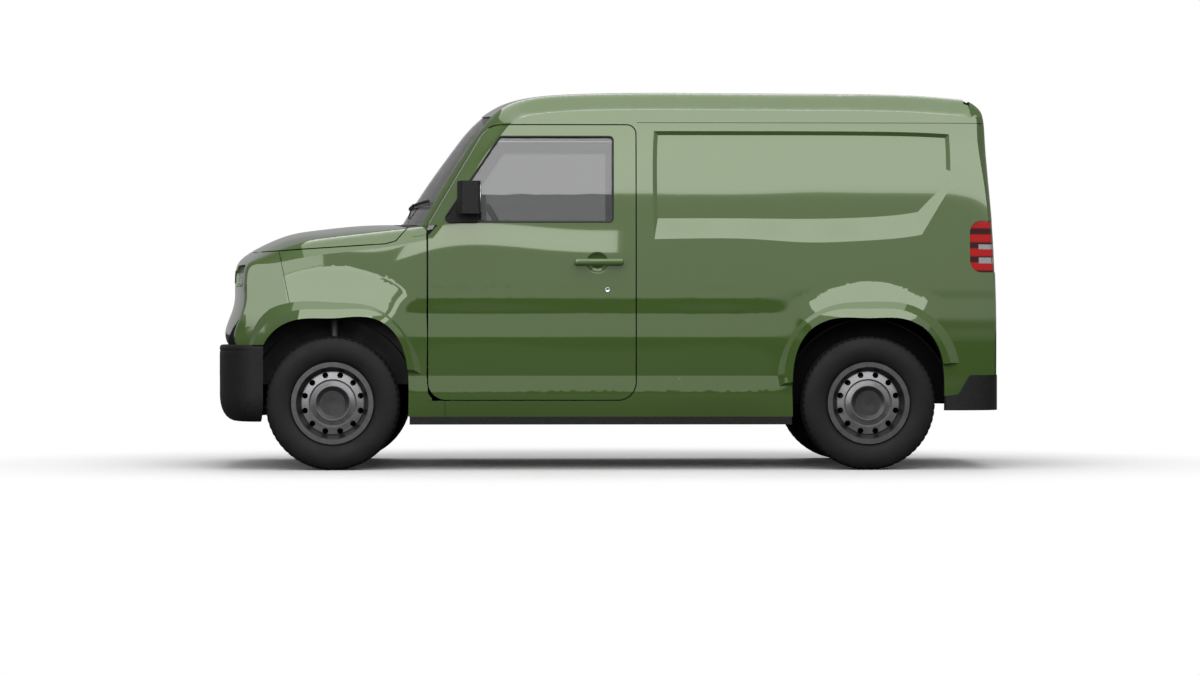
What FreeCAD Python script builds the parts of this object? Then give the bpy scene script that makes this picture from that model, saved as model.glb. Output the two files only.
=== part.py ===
import FreeCAD, Part
import Sketcher
import math
import os
from types import SimpleNamespace

Vector = FreeCAD.Vector

# A small electric panel van with a short bonnet, two hinged cab doors, a rear tailgate and a hollow load space.
# Millimetres. +X points to the rear, +Y to the van's right side, +Z up.
# The origin is the middle of the van's box, on the ground.

doc = FreeCAD.newDocument("PanelVan")
sheet = doc.addObject("Spreadsheet::Sheet", "Sizes")

# Driving dimensions
SIZES = (
    # Whole van
    ("overall_length", 4046),
    ("overall_height", 1955),
    ("body_width", 1650),
    ("wheelbase", 2720),
    ("front_overhang", 625),
    ("overrun", 60),
    ("fit_gap", 0.3),
    ("shut_gap", 6),
    # Body walls
    ("wall_thickness", 45),
    ("bonnet_thickness", 30),
    ("nose_thickness", 40),
    ("door_thickness", 85),
    ("tailgate_thickness", 60),
    ("glass_thickness", 5),
    ("glass_depth", 6),
    ("edge_radius", 70),
    ("sill_height", 272),
    ("roof_seam_height", 1765),
    ("pillar_foot_height", 1237),
    ("sill_joint_x", 827),
    # Cab doors
    ("door_front_x", 913),
    ("door_rear_x", 138),
    ("door_bottom_height", 358),
    ("door_top_height", 1752),
    ("door_belt_height", 1245),
    ("door_top_front_x", 612),
    ("door_corner_radius", 90),
    ("door_top_radius", 45),
    ("door_pillar_radius", 110),
    ("door_hinge_setback", 60),
    ("door_hinge_depth", 20),
    ("hinge_pin_radius", 5),
    ("hinge_eye_radius", 9),
    ("hinge_eye_length", 20),
    ("hinge_lug_length", 30),
    ("hinge_strap", 12),
    ("door_hinge_reach", 72),
    ("door_hinge_low", 520),
    ("door_hinge_high", 980),
    ("window_sill_height", 1255),
    ("window_top_height", 1698),
    ("window_front_x", 850),
    ("window_top_front_x", 553),
    ("window_rear_x", 28),
    ("window_radius", 24),
    # Handle and mirror
    ("handle_height", 1055),
    ("handle_length", 250),
    ("handle_depth", 24),
    ("handle_bar_height", 34),
    ("handle_stand_off", 22),
    ("handle_rear_x", 77),
    ("mirror_front_x", 767),
    ("mirror_length", 120),
    ("mirror_bottom_height", 1296),
    ("mirror_height", 165),
    ("mirror_reach", 945),
    ("mirror_root", 790),
    ("mirror_face_run", 24),
    ("mirror_rear_run", 66),
    ("mirror_corner_radius", 14),
    ("mirror_foot_start", 20),
    ("mirror_foot_step", 132),
    ("mirror_foot_rise", 192),
    ("handle_round", 10.8),
    # Bonnet
    ("bonnet_front_height", 1108),
    ("bonnet_shut_front_x", 1675),
    ("bonnet_shut_front_height", 1116),
    ("bonnet_shut_rear_x", 1130),
    ("bonnet_shut_rear_height", 1151),
    ("bonnet_step_x", 1079),
    ("bonnet_step_height", 1166),
    ("bonnet_heel_x", 1019),
    ("bonnet_hinge_height", 1215),
    ("bonnet_hinge_x", 1006),
    ("bonnet_hinge_y", 685),
    ("bonnet_neck_drop", 60),
    ("bonnet_neck_reach", 69),
    ("bonnet_bracket", 45),
    ("scuttle_depth", 60),
    ("scuttle_gap", 18),
    ("nose_joint_top_x", 1665),
    ("nose_joint_bottom_x", 1594),
    # Tailgate
    ("tailgate_top_x", 1851),
    ("tailgate_half_width", 670),
    ("tailgate_top_half_width", 655),
    ("tailgate_bottom_height", 500),
    ("tailgate_hinge_x", 1865),
    ("tailgate_hinge_height", 1880),
    ("tailgate_hinge_y", 400),
    ("tailgate_crown", 36),
    ("tailgate_arm_drop", 45),
    ("tailgate_arm_reach", 70),
    ("rear_window_bottom", 1230),
    ("rear_window_top", 1700),
    ("rear_window_half_width", 540),
    # Load side's pressed panel
    ("recess_depth", 13),
    ("recess_front_x", 234),
    ("recess_rear_x", 1749),
    ("recess_foot_x", 1597),
    ("recess_top", 1721),
    ("recess_bottom", 1176),
    ("recess_step_height", 1429),
    ("recess_bevel", 131),
    ("recess_edge", 22),
    # Windscreen
    ("windscreen_foot_half", 692),
    ("windscreen_head_half", 640),
    ("windscreen_head_height", 1838),
    ("windscreen_bow_drop", 18),
    ("windscreen_rear_x", 480),
    ("cowl_half_width", 640),
    ("cowl_rear_x", 930),
    # Lamps
    ("headlamp_bottom", 932),
    ("headlamp_height", 112),
    ("headlamp_inner_y", 420),
    ("headlamp_outer_y", 690),
    ("headlamp_radius", 30),
    ("headlamp_back_x", 1600),
    ("headlamp_recess", 14),
    ("tail_lamp_bottom", 1004),
    ("tail_lamp_height", 263),
    ("tail_lamp_front_x", 1840),
    ("tail_lamp_inner_y", 684),
    ("tail_lamp_radius", 60),
    ("tail_lamp_recess", 6),
    ("tail_lamp_depth", 40),
    # Bumpers and sills
    ("front_bumper_top", 636),
    ("front_bumper_bottom", 245),
    ("front_bumper_wall", 40),
    ("rear_bumper_top", 482),
    ("rear_bumper_step", 375),
    ("rear_bumper_bottom", 303),
    ("rear_bumper_wall", 40),
    ("sill_trim_top", 272),
    ("sill_trim_bottom", 232),
    ("sill_trim_width", 60),
    # Wheels
    ("tyre_radius", 340),
    ("tyre_width", 190),
    ("tyre_face", 800),
    ("rim_flange_radius", 208),
    ("rim_seat_radius", 192),
    ("rim_disc_radius", 162),
    ("rim_groove_radius", 114),
    ("rim_cap_radius", 92),
    ("rim_cap_flat", 64),
    ("rim_hole_radius", 15),
    ("rim_hole_circle", 146),
    ("rim_hole_count", 12),
    ("rim_plate", 8),
    ("rim_set_back", 38),
    ("arch_flare", 22),
    ("rim_width", 158),
    ("rim_flange_thickness", 7),
    ("rim_wall", 6),
    ("rim_cap_height", 30),
    ("hub_boss_radius", 62),
    ("spindle_radius", 25),
    ("running_gap", 0.1),
    ("tyre_shoulder", 20),
    ("tyre_bulge", 62),
    ("tyre_bead_radius", 193),
    ("kingpin_top_y", 560),
    ("kingpin_top_height", 850),
    ("kingpin_foot_y", 680),
    ("kingpin_foot_height", 220),
    ("strut_radius", 25),
    ("strut_offset", 10),
    ("strut_ball_radius", 30),
    ("kingpin_radius", 18),
    ("liner_radius", 424),
    ("liner_wall", 4),
    ("liner_inner_y", 620),
    ("tub_inner_y", 585),
    # Roof bar pads
    ("roof_bar_centre_x", 600),
    ("roof_bar_spacing", 1200),
    ("roof_bar_half_span", 590),
    ("roof_bar_pad", 18),
    ("roof_bar_hole", 4),
    ("roof_pad_height", 1908),
    ("hub_boss_inner", 10),
    ("spindle_reach", 28),
    # Floor and running gear
    ("floor_height", 430),
    ("floor_plate", 25),
    ("battery_length", 1560),
    ("battery_width", 1040),
    ("battery_height", 175),
    ("power_unit_length", 420),
    ("power_unit_width", 560),
    ("power_unit_height", 430),
    ("rail_width", 70),
    ("rail_height", 90),
    ("rail_y", 360),
    ("rail_bottom", 430),
    ("cross_rail_height", 63),
    ("hub_radius", 60),
    ("axle_tube_radius", 38),
    ("bulkhead_x", 175),
    ("bulkhead_thickness", 25),
    # Cab
    ("seat_y", 370),
    ("seat_width", 480),
    ("seat_length", 480),
    ("seat_cushion_height", 120),
    ("seat_cushion_bottom", 640),
    ("seat_back_height", 560),
    ("seat_back_thickness", 110),
    ("steering_wheel_radius", 175),
    ("steering_wheel_grip", 15),
    ("steering_spoke_radius", 10.5),
    ("steering_column_radius", 24),
    ("steering_hub_radius", 58),
    ("steering_wheel_x", 528),
    ("steering_wheel_height", 1200),
    ("steering_wheel_tilt", 30),
    ("seat_front_x", 560),
    ("seat_base_length", 384),
    ("seat_base_width", 384),
    ("seat_base_set_back", 48),
    ("seat_back_lean", 90),
    ("headrest_height", 150),
    ("dash_depth", 330),
    ("dash_top_height", 1190),
    ("dash_height", 300),
    ("dash_half_width", 680),
    ("firewall_x", 975),
    ("firewall_thickness", 20),
    ("firewall_top", 1195),
    ("firewall_half_width", 748),
    ("hinge_post_depth", 45),
    ("hinge_post_width", 64),
    ("apron_y", 385),
    ("apron_thickness", 15),
    ("apron_top", 1000),
    ("bay_front_x", 1830),
    ("beam_front_x", 1945),
    ("beam_depth", 60),
    ("beam_height", 110),
    ("beam_centre_height", 540),
    ("beam_half_width", 560),
    ("tower_half_length", 100),
    ("tower_width", 240),
    ("tower_thickness", 40),
    ("arm_radius", 22),
    ("arm_ball_radius", 30.8),
    ("arm_rear_reach", 220),
    ("spring_y", 480),
    ("spring_width", 60),
    ("spring_thickness", 24),
    ("spring_half_length", 520),
)

for row, (name, value) in enumerate(SIZES, start=1):
    sheet.set("A%d" % row, name)
    sheet.set("B%d" % row, str(value))
    sheet.setAlias("B%d" % row, name)
doc.recompute()

van = SimpleNamespace(**{name: float(sheet.get(name)) for name, value in SIZES})

half_length = van.overall_length / 2
half_width = van.body_width / 2
front_axle_x = van.front_overhang - half_length
rear_axle_x = front_axle_x + van.wheelbase

# Side-view lines of the body, in shares: along the length, up the height,
# then how far the line moves back and drops at the body's full half width.
NOSE_LINE_SHARES = (
    (-0.4906, 0.3250, 0.165, 0.025),
    (-0.4946, 0.3640, 0.165, 0.025),
    (-0.4881, 0.4040, 0.165, 0.025),
    (-0.4832, 0.4400, 0.165, 0.025),
    (-0.4824, 0.5065, 0.165, 0.025),
    (-0.4785, 0.5425, 0.165, 0.033),
    (-0.4644, 0.5705, 0.165, 0.066),
    (-0.4407, 0.5975, 0.181, 0.082),
    (-0.4093, 0.6220, 0.198, 0.091),
    (-0.3777, 0.6328, 0.206, 0.091),
    (-0.3149, 0.6455, 0.214, 0.082),
    (-0.2677, 0.6460, 0.219, 0.041),
)
ROOF_LINE_SHARES = (
    (-0.2677, 0.6460, 0.219, 0.041),
    (-0.2360, 0.7500, 0.206, 0.049),
    (-0.2046, 0.8405, 0.181, 0.058),
    (-0.1730, 0.9192, 0.148, 0.066),
    (-0.1574, 0.9453, 0.124, 0.070),
    (-0.1416, 0.9637, 0.099, 0.074),
    (-0.1102, 0.9836, 0.058, 0.082),
    (-0.0472, 0.9964, 0.016, 0.082),
    (0.0000, 0.9995, 0.0, 0.082),
    (0.1483, 1.0000, 0.0, 0.082),
    (0.2991, 0.9985, 0.0, 0.082),
    (0.3935, 0.9939, 0.0, 0.082),
    (0.4399, 0.9867, -0.016, 0.082),
    (0.4622, 0.9780, -0.033, 0.082),
    (0.4750, 0.9596, -0.037, 0.082),
    (0.4790, 0.9361, -0.037, 0.049),
    (0.4810, 0.8696, -0.037, 0.025),
    (0.4857, 0.7500, -0.037, 0.016),
    (0.4906, 0.6343, -0.037, 0.008),
    (0.4943, 0.4860, -0.037, 0.0),
    (0.4953, 0.2148, -0.037, 0.0),
)
# Cross-section of the side: up the height, then half width with the pressed ribs and without them.
SIDE_SHARES = (
    (0.1023, 0.933, 0.933),
    (0.1392, 0.952, 0.945),
    (0.1832, 0.968, 0.953),
    (0.2405, 0.953, 0.957),
    (0.2451, 0.948, 0.958),
    (0.2866, 0.953, 0.959),
    (0.3301, 0.958, 0.960),
    (0.3685, 0.956, 0.960),
    (0.4002, 0.947, 0.960),
    (0.4350, 0.950, 0.959),
    (0.4672, 0.950, 0.959),
    (0.5118, 0.951, 0.958),
    (0.5630, 0.950, 0.954),
    (0.6689, 0.939, 0.939),
    (0.7677, 0.924, 0.924),
    (0.9018, 0.893, 0.893),
    (0.9600, 0.870, 0.870),
    (1.0747, 0.795, 0.795),
)
SIDE_CREASE_INDEX = 4
# Stations along the body: along the length, inset of the side in shares of the half width, part of the ribs.
STATION_SHARES = (
    (-0.5240, 0.303, 0),
    (-0.4968, 0.158, 0),
    (-0.4745, 0.087, 0),
    (-0.4449, 0.044, 0),
    (-0.4078, 0.018, 0),
    (-0.3460, 0.002, 0),
    (-0.2768, 0.000, 0),
    (-0.2224, 0.000, 1),
    (-0.0741, 0.000, 1),
    (0.0741, 0.000, 1),
    (0.1780, 0.000, 1),
    (0.2373, 0.000, 0),
    (0.3213, 0.001, 0),
    (0.4078, 0.007, 0),
    (0.4572, 0.022, 0),
    (0.4844, 0.044, 0),
    (0.5190, 0.097, 0),
)
SLICE_SHARES = (0.0, 0.30, 0.54, 0.70, 0.79, 0.85, 0.89, 0.925, 0.965, 1.01)
EDGE_POWER = 2.2
EDGE_LIMIT_SHARE = 1.0
# Wheel openings and the creases round them, in shares of the tyre's radius from the wheel's centre.
FRONT_OPENING_SHARES = (
    (-1.17, -0.50), (-1.10, 0.45), (-1.02, 0.87), (-0.80, 1.13), (-0.47, 1.255),
    (0.0, 1.265), (0.64, 1.255), (0.90, 1.08), (1.07, 0.76), (1.13, 0.41), (1.15, -0.50),
)
REAR_OPENING_SHARES = (
    (-1.15, -0.50), (-1.14, 0.41), (-1.08, 0.76), (-0.90, 1.07), (-0.53, 1.26),
    (0.0, 1.27), (0.51, 1.26), (0.86, 1.09), (1.05, 0.80), (1.13, 0.41), (1.15, -0.50),
)
FRONT_CREASE_SHARES = (
    (-1.30, 0.60), (-1.23, 0.95), (-1.04, 1.31), (-0.62, 1.54), (0.12, 1.582),
    (0.64, 1.49), (1.01, 1.17), (1.31, 0.72), (1.37, 0.40),
)
FRONT_LIP_SHARES = (
    (-1.24, 0.60), (-1.15, 0.93), (-0.95, 1.21), (-0.55, 1.38), (0.05, 1.40),
    (0.66, 1.36), (0.97, 1.13), (1.17, 0.76), (1.22, 0.50),
)
REAR_CREASE_SHARES = (
    (-1.40, 0.20), (-1.345, 0.80), (-1.05, 1.24), (-0.53, 1.54), (0.14, 1.60),
    (0.59, 1.553), (1.03, 1.315), (1.33, 0.87), (1.39, 0.60),
)
REAR_LIP_SHARES = (
    (-1.26, 0.30), (-1.20, 0.78), (-0.97, 1.15), (-0.55, 1.38), (0.02, 1.41),
    (0.53, 1.38), (0.93, 1.14), (1.15, 0.80), (1.22, 0.60),
)


def chord_parameters(points):
    """Distances along a row of points, as fractions of the whole."""
    totals = [0.0]
    for first, second in zip(points, points[1:]):
        totals.append(totals[-1] + (second - first).Length)
    return [total / totals[-1] for total in totals]


def spline_edge(points, parameters=None):
    curve = Part.BSplineCurve()
    if parameters:
        curve.interpolate(Points=points, Parameters=parameters)
    else:
        curve.interpolate(Points=points)
    return curve.toShape()


def join_wire(edges):
    return Part.Wire(Part.__sortEdges__(edges))


def outward_normals(table):
    """Outward direction at each point of a side-view line, from its two neighbours."""
    places = [(along * van.overall_length, up * van.overall_height) for along, up, back, drop in table]
    normals = []
    for index in range(len(places)):
        before = places[max(index - 1, 0)]
        after = places[min(index + 1, len(places) - 1)]
        run = Vector(after[0] - before[0], 0, after[1] - before[1]).normalize()
        normals.append(Vector(-run.z, 0, run.x))
    return normals


def edge_width(up):
    """Half width at which the body's rounded edge ends, from the cross-section's table."""
    for (low, ribbed, plain), (high, ribbed_above, plain_above) in zip(SIDE_SHARES, SIDE_SHARES[1:]):
        if low <= up <= high:
            part = (up - low) / (high - low)
            return (plain + (plain_above - plain) * part) * half_width
    return SIDE_SHARES[-1][2] * half_width


def side_view_solid(inset):
    """Loft of the body's side outline across the width: bowed back, and rounded off towards the sides."""
    floor_z = SIDE_SHARES[0][0] * van.overall_height - (van.overrun if inset else 0)
    nose_normals = outward_normals(NOSE_LINE_SHARES)
    roof_normals = outward_normals(ROOF_LINE_SHARES)
    foot_normal = (nose_normals[-1] + roof_normals[0]).normalize()
    nose_normals[-1] = foot_normal
    roof_normals[0] = foot_normal
    lines = ((NOSE_LINE_SHARES, nose_normals), (ROOF_LINE_SHARES, roof_normals))
    parameters = [chord_parameters([Vector(along * van.overall_length, 0, up * van.overall_height)
                                    for along, up, back, drop in table]) for table, normals in lines]
    wires = []
    for side in (-1, 1):
        for slice_share in (reversed(SLICE_SHARES) if side < 0 else SLICE_SHARES[1:]):
            y = side * slice_share * half_width
            curves = []
            for table, normals in lines:
                points = []
                for (along, up, back, drop), normal in zip(table, normals):
                    bow = (y / half_width) ** 2 * half_width
                    edge_start = edge_width(up) - van.edge_radius
                    reach = max(0.0, (abs(y) - edge_start) / van.edge_radius)
                    sink = min(reach ** EDGE_POWER, EDGE_LIMIT_SHARE) * van.edge_radius + inset
                    place = Vector(along * van.overall_length + back * bow, y,
                                   up * van.overall_height - drop * bow)
                    points.append(place - normal * sink)
                curves.append(points)
            nose, roof = curves
            foot_rear = Vector(roof[-1].x, y, floor_z)
            foot_front = Vector(nose[0].x, y, floor_z)
            wires.append(Part.Wire([
                spline_edge(nose, parameters[0]),
                spline_edge(roof, parameters[1]),
                Part.makeLine(roof[-1], foot_rear),
                Part.makeLine(foot_rear, foot_front),
                Part.makeLine(foot_front, nose[0]),
            ]))
    return Part.makeLoft(wires, True, False)


def cross_section_solid(inset):
    """Loft of the body's cross-section from nose to tail."""
    heights = [up * van.overall_height for up, ribbed, plain in SIDE_SHARES]
    crease = SIDE_CREASE_INDEX
    lower = [(z - heights[0]) / (heights[crease] - heights[0]) for z in heights[:crease + 1]]
    upper = [(z - heights[crease]) / (heights[-1] - heights[crease]) for z in heights[crease:]]
    wires = []
    for along, side_inset, ribs in STATION_SHARES:
        x = along * van.overall_length
        widths = [(ribbed * ribs + plain * (1 - ribs) - side_inset) * half_width - inset
                  for up, ribbed, plain in SIDE_SHARES]
        right = [Vector(x, width, z) for width, z in zip(widths, heights)]
        left = [Vector(x, -width, z) for width, z in zip(widths, heights)]
        wires.append(join_wire([
            spline_edge(right[:crease + 1], lower),
            spline_edge(right[crease:], upper),
            Part.makeLine(right[-1], left[-1]),
            spline_edge(left[crease:], upper),
            spline_edge(left[:crease + 1], lower),
            Part.makeLine(left[0], right[0]),
        ]))
    return Part.makeLoft(wires, True, False)


envelopes = {}


def envelope(inset=0.0):
    """The body's outer form, moved inwards by one wall."""
    key = round(inset, 3)
    if key not in envelopes:
        envelopes[key] = side_view_solid(inset).common(cross_section_solid(inset))
    return envelopes[key].copy()


def layer(outer, inner, region=None):
    """The body's skin between two depths below its surface, whole or within one region."""
    if region is None:
        return envelope(outer).cut(envelope(inner))
    return region.common(envelope(outer)).cut(envelope(inner))


def rounded_wire(points, radii):
    """Closed wire through corners, each rounded by its own arc."""
    edges = []
    ends = []
    count = len(points)
    for index in range(count):
        before = points[index - 1]
        corner = points[index]
        after = points[(index + 1) % count]
        to_before = (before - corner).normalize()
        to_after = (after - corner).normalize()
        radius = radii[index] if isinstance(radii, (list, tuple)) else radii
        half_angle = to_before.getAngle(to_after) / 2
        if radius > 0:
            reach = radius / math.tan(half_angle)
            start = corner + to_before * reach
            finish = corner + to_after * reach
            bisector = (to_before + to_after).normalize()
            middle = corner + bisector * (radius / math.sin(half_angle) - radius)
            ends.append((start, finish))
            edges.append(Part.Arc(start, middle, finish).toShape())
        else:
            ends.append((corner, corner))
            edges.append(None)
    closed = []
    for index in range(count):
        if edges[index]:
            closed.append(edges[index])
        start = ends[index][1]
        finish = ends[(index + 1) % count][0]
        if (finish - start).Length > 1e-6:
            closed.append(Part.makeLine(start, finish))
    return Part.Wire(closed)


def side_prism(corners, radii, y_from, y_to):
    """Prism through the van from a side-view outline of (x, z) corners."""
    wire = rounded_wire([Vector(x, y_from, z) for x, z in corners], radii)
    return Part.Face(wire).extrude(Vector(0, y_to - y_from, 0))


def end_prism(corners, radii, x_from, x_to):
    """Prism along the van from an end-view outline of (y, z) corners."""
    wire = rounded_wire([Vector(x_from, y, z) for y, z in corners], radii)
    return Part.Face(wire).extrude(Vector(x_to - x_from, 0, 0))


def block(x_from, x_to, y_from, y_to, z_from, z_to):
    return Part.makeBox(x_to - x_from, y_to - y_from, z_to - z_from, Vector(x_from, y_from, z_from))


def mirrored(shape):
    """The same piece on the van's right side."""
    return shape.mirror(Vector(0, 0, 0), Vector(0, 1, 0))


def solid_of(shape):
    solids = shape.Solids
    if len(solids) == 1:
        return solids[0]
    return Part.makeCompound(solids)


def largest(shape):
    return max(shape.Solids, key=lambda solid: solid.Volume)


pieces = []


def add_feature(label, shape):
    """A sub-part whose form is made with surface and solid functions."""
    piece = doc.addObject("Part::Feature", label)
    piece.Label = label
    piece.Shape = shape
    piece.Placement = FreeCAD.Placement()
    pieces.append(piece)
    return piece


far_x = half_length + van.overrun
far_y = half_width + 4 * van.overrun
far_z = van.overall_height + van.overrun

# Door outline and window


def door_corners(grow=0.0):
    g = grow
    return (
        (-van.door_front_x - g, van.door_bottom_height - g),
        (-van.door_front_x - g, van.door_belt_height + g / 2),
        (-van.door_top_front_x - g, van.door_top_height + g),
        (van.door_rear_x + g, van.door_top_height + g),
        (van.door_rear_x + g, van.door_bottom_height - g),
    )


def door_radii(grow=0.0):
    return [van.door_corner_radius + grow, van.door_corner_radius + grow, van.door_pillar_radius + grow,
            van.door_top_radius + grow, van.door_corner_radius + grow]


def window_corners(grow=0.0):
    g = grow
    return (
        (-van.window_front_x - g, van.window_sill_height - g),
        (-van.window_top_front_x - g, van.window_top_height + g),
        (van.window_rear_x + g, van.window_top_height + g),
        (van.window_rear_x + g, van.window_sill_height - g),
    )


def wheel_outline(table, wheel_x, y):
    points = [Vector(wheel_x + along * van.tyre_radius, y, van.tyre_radius * (1 + up)) for along, up in table]
    return Part.Wire([spline_edge(points), Part.makeLine(points[-1], points[0])])


def wheel_opening(table, wheel_x, y_from, y_to):
    return Part.Face(wheel_outline(table, wheel_x, y_from)).extrude(Vector(0, y_to - y_from, 0))


side_y = SIDE_SHARES[8][2] * half_width


def flare(crease_table, lip_table, wheel_x):
    """Raised lip round a wheel opening, on the left side."""
    inner = wheel_outline(crease_table, wheel_x, -(side_y - van.arch_flare))
    outer = wheel_outline(lip_table, wheel_x, -(side_y + van.arch_flare))
    return Part.makeLoft([inner, outer], True, True)


front_opening = wheel_opening(FRONT_OPENING_SHARES, front_axle_x, -far_y, -van.rail_y)
rear_opening = wheel_opening(REAR_OPENING_SHARES, rear_axle_x, -far_y, -van.rail_y)
front_flare = flare(FRONT_CREASE_SHARES, FRONT_LIP_SHARES, front_axle_x)
rear_flare = flare(REAR_CREASE_SHARES, REAR_LIP_SHARES, rear_axle_x)

skin = layer(0, van.wall_thickness)
left_half = block(-far_x, far_x, -far_y, 0, 0, far_z)
door_hole = side_prism(door_corners(van.shut_gap), door_radii(van.shut_gap), -far_y, -van.rail_y)

# Hinge lines
door_hinge_x = -van.door_front_x + van.door_hinge_setback
door_hinge_y = SIDE_SHARES[12][1] * half_width - van.door_hinge_depth
door_sweep_radius = math.hypot(van.door_hinge_setback, van.door_hinge_depth + van.shut_gap) + van.shut_gap
door_sweep = Part.makeCylinder(door_sweep_radius, van.door_belt_height - van.door_bottom_height + van.shut_gap,
                               Vector(door_hinge_x, -door_hinge_y, van.door_bottom_height - van.shut_gap))


def cross_rod(radius, x, z, y_from, y_to):
    """Cylinder across the van."""
    return Part.makeCylinder(radius, y_to - y_from, Vector(x, y_from, z), Vector(0, 1, 0))


tailgate_lip = van.tailgate_hinge_x - van.tailgate_top_x
tailgate_sweep = cross_rod(math.hypot(tailgate_lip, van.tailgate_crown) + van.shut_gap,
                           van.tailgate_hinge_x, van.tailgate_hinge_height,
                           -van.tailgate_top_half_width - van.shut_gap, van.tailgate_top_half_width + van.shut_gap)


def bonnet_region():
    """Space above the bonnet's shut line and ahead of the windscreen's foot."""
    outline = side_prism((
        (-far_x, van.bonnet_front_height),
        (-van.bonnet_shut_front_x, van.bonnet_shut_front_height),
        (-van.bonnet_shut_rear_x, van.bonnet_shut_rear_height),
        (-van.bonnet_step_x, van.bonnet_step_height),
        (-van.bonnet_heel_x, van.pillar_foot_height),
        (-van.bonnet_heel_x, far_z),
        (-far_x, far_z),
    ), 0, -far_y, far_y)
    return outline.common(cowl_region(van.scuttle_depth))


def cowl_region(back_off):
    """Space ahead of the windscreen's foot, a curve in plan that runs back towards the sides."""
    along, up, back, drop = NOSE_LINE_SHARES[-1]
    points = []
    rows = [-share for share in reversed(SLICE_SHARES)] + list(SLICE_SHARES[1:])
    for slice_share in rows:
        points.append(Vector(along * van.overall_length + back * slice_share ** 2 * half_width - back_off,
                             slice_share * half_width, 0))
    first = Vector(-far_x, points[0].y, 0)
    last = Vector(-far_x, points[-1].y, 0)
    wire = Part.Wire([spline_edge(points), Part.makeLine(points[-1], last),
                      Part.makeLine(last, first), Part.makeLine(first, points[0])])
    return Part.Face(wire).extrude(Vector(0, 0, far_z))


bonnet_space = bonnet_region()


def tailgate_region(grow):
    """Space behind the tailgate's shut line, between the rear corner pillars."""
    low = van.tailgate_bottom_height - grow
    wide = van.tailgate_half_width + grow
    narrow = van.tailgate_top_half_width + grow
    return end_prism(((-wide, low), (-narrow, far_z), (narrow, far_z), (wide, low)), 0,
                     van.tailgate_top_x - grow, far_x)


def windscreen_region(grow, x_from, x_to):
    along, up, back, drop = NOSE_LINE_SHARES[-1]
    foot = up * van.overall_height - grow
    head = van.windscreen_head_height + grow
    corners = (
        (-van.windscreen_foot_half - grow, foot - van.windscreen_bow_drop),
        (0, foot + van.windscreen_bow_drop / 2),
        (van.windscreen_foot_half + grow, foot - van.windscreen_bow_drop),
        (van.windscreen_head_half + grow, head - van.windscreen_bow_drop * 2),
        (0, head),
        (-van.windscreen_head_half - grow, head - van.windscreen_bow_drop * 2),
    )
    radius = van.window_radius
    return end_prism(corners, [radius, 0, radius, radius * 2, 0, radius * 2], x_from, x_to)


windscreen_hole = windscreen_region(van.fit_gap, -far_x, -van.windscreen_rear_x)
tailgate_hole = tailgate_region(van.shut_gap)
nose_joint = ((-far_x, 0), (-van.nose_joint_bottom_x, 0), (-van.nose_joint_bottom_x, van.front_bumper_top),
              (-van.nose_joint_top_x, van.bonnet_front_height), (-van.nose_joint_top_x, far_z), (-far_x, far_z))
nose_space = side_prism(nose_joint, 0, -far_y, far_y)
front_skin = layer(0, van.bonnet_thickness)


def bonnet_hole_region():
    g = van.shut_gap
    outline = side_prism((
        (-far_x, van.bonnet_front_height - g),
        (-van.bonnet_shut_front_x, van.bonnet_shut_front_height - g),
        (-van.bonnet_shut_rear_x, van.bonnet_shut_rear_height - g),
        (-van.bonnet_step_x + g / 2, van.bonnet_step_height - g),
        (-van.bonnet_heel_x + g, van.pillar_foot_height),
        (-van.bonnet_heel_x + g, far_z),
        (-far_x, far_z),
    ), 0, -far_y, far_y)
    return outline.common(cowl_region(van.scuttle_depth - van.scuttle_gap))


bonnet_hole = bonnet_hole_region()


def make_bonnet():
    """Bonnet skin with a swan-necked hinge arm under each rear corner."""
    panel = front_skin.common(bonnet_space)
    for side in (-1, 1):
        panel = panel.fuse(bonnet_arm(side * van.bonnet_hinge_y))
    return largest(panel)


def bonnet_arm(y):
    x = -van.bonnet_hinge_x
    z = van.bonnet_hinge_height
    half = van.hinge_strap / 2
    low = z - van.bonnet_neck_drop
    front = x - van.bonnet_neck_reach
    eye = cross_rod(van.hinge_eye_radius, x, z, y - half, y + half)
    drop = block(x - half, x + half, y - half, y + half, low - half, z)
    run = block(front - half, x + half, y - half, y + half, low - half, low + half)
    rise = block(front - half, front + half, y - half, y + half, low - half, z - van.hinge_strap)
    arm = eye.multiFuse([drop, run, rise])
    return arm.cut(cross_rod(van.hinge_pin_radius + van.fit_gap, x, z, y - half, y + half))


def bonnet_arm_space():
    """Room under the wings' rear corners for the bonnet's hinges."""
    x = -van.bonnet_hinge_x
    z = van.bonnet_hinge_height
    half = van.hinge_strap / 2 + van.shut_gap
    far = half + van.hinge_strap
    y = -van.bonnet_hinge_y
    clear = van.hinge_eye_radius + van.shut_gap / 2
    neck = block(x - 2 * van.hinge_eye_length, x, y - half, y + half, z - van.overrun, z + van.shut_gap)
    below = block(x - clear, x + clear, y - far, y + half, z - van.overrun, z)
    return neck.multiFuse([below, cross_rod(clear, x, z, y - far, y + half)])


def make_fender():
    """Front wing on the left, from the nose joint back to the door and down to the sill."""
    region = side_prism(((-far_x, 0), (-van.sill_joint_x, 0), (-van.sill_joint_x, van.pillar_foot_height),
                         (-far_x, van.pillar_foot_height)), 0, -far_y, -van.overrun)
    wing = front_skin.common(region).cut(nose_space)
    wing = wing.fuse(front_flare.cut(nose_space))
    wing = wing.cut(front_opening).cut(bonnet_hole).cut(door_hole).cut(door_sweep)
    wing = wing.cut(cowl_block).cut(bonnet_arm_space()).cut(block(-far_x, far_x, -far_y, far_y, 0, van.sill_height))
    return largest(wing)


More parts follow.
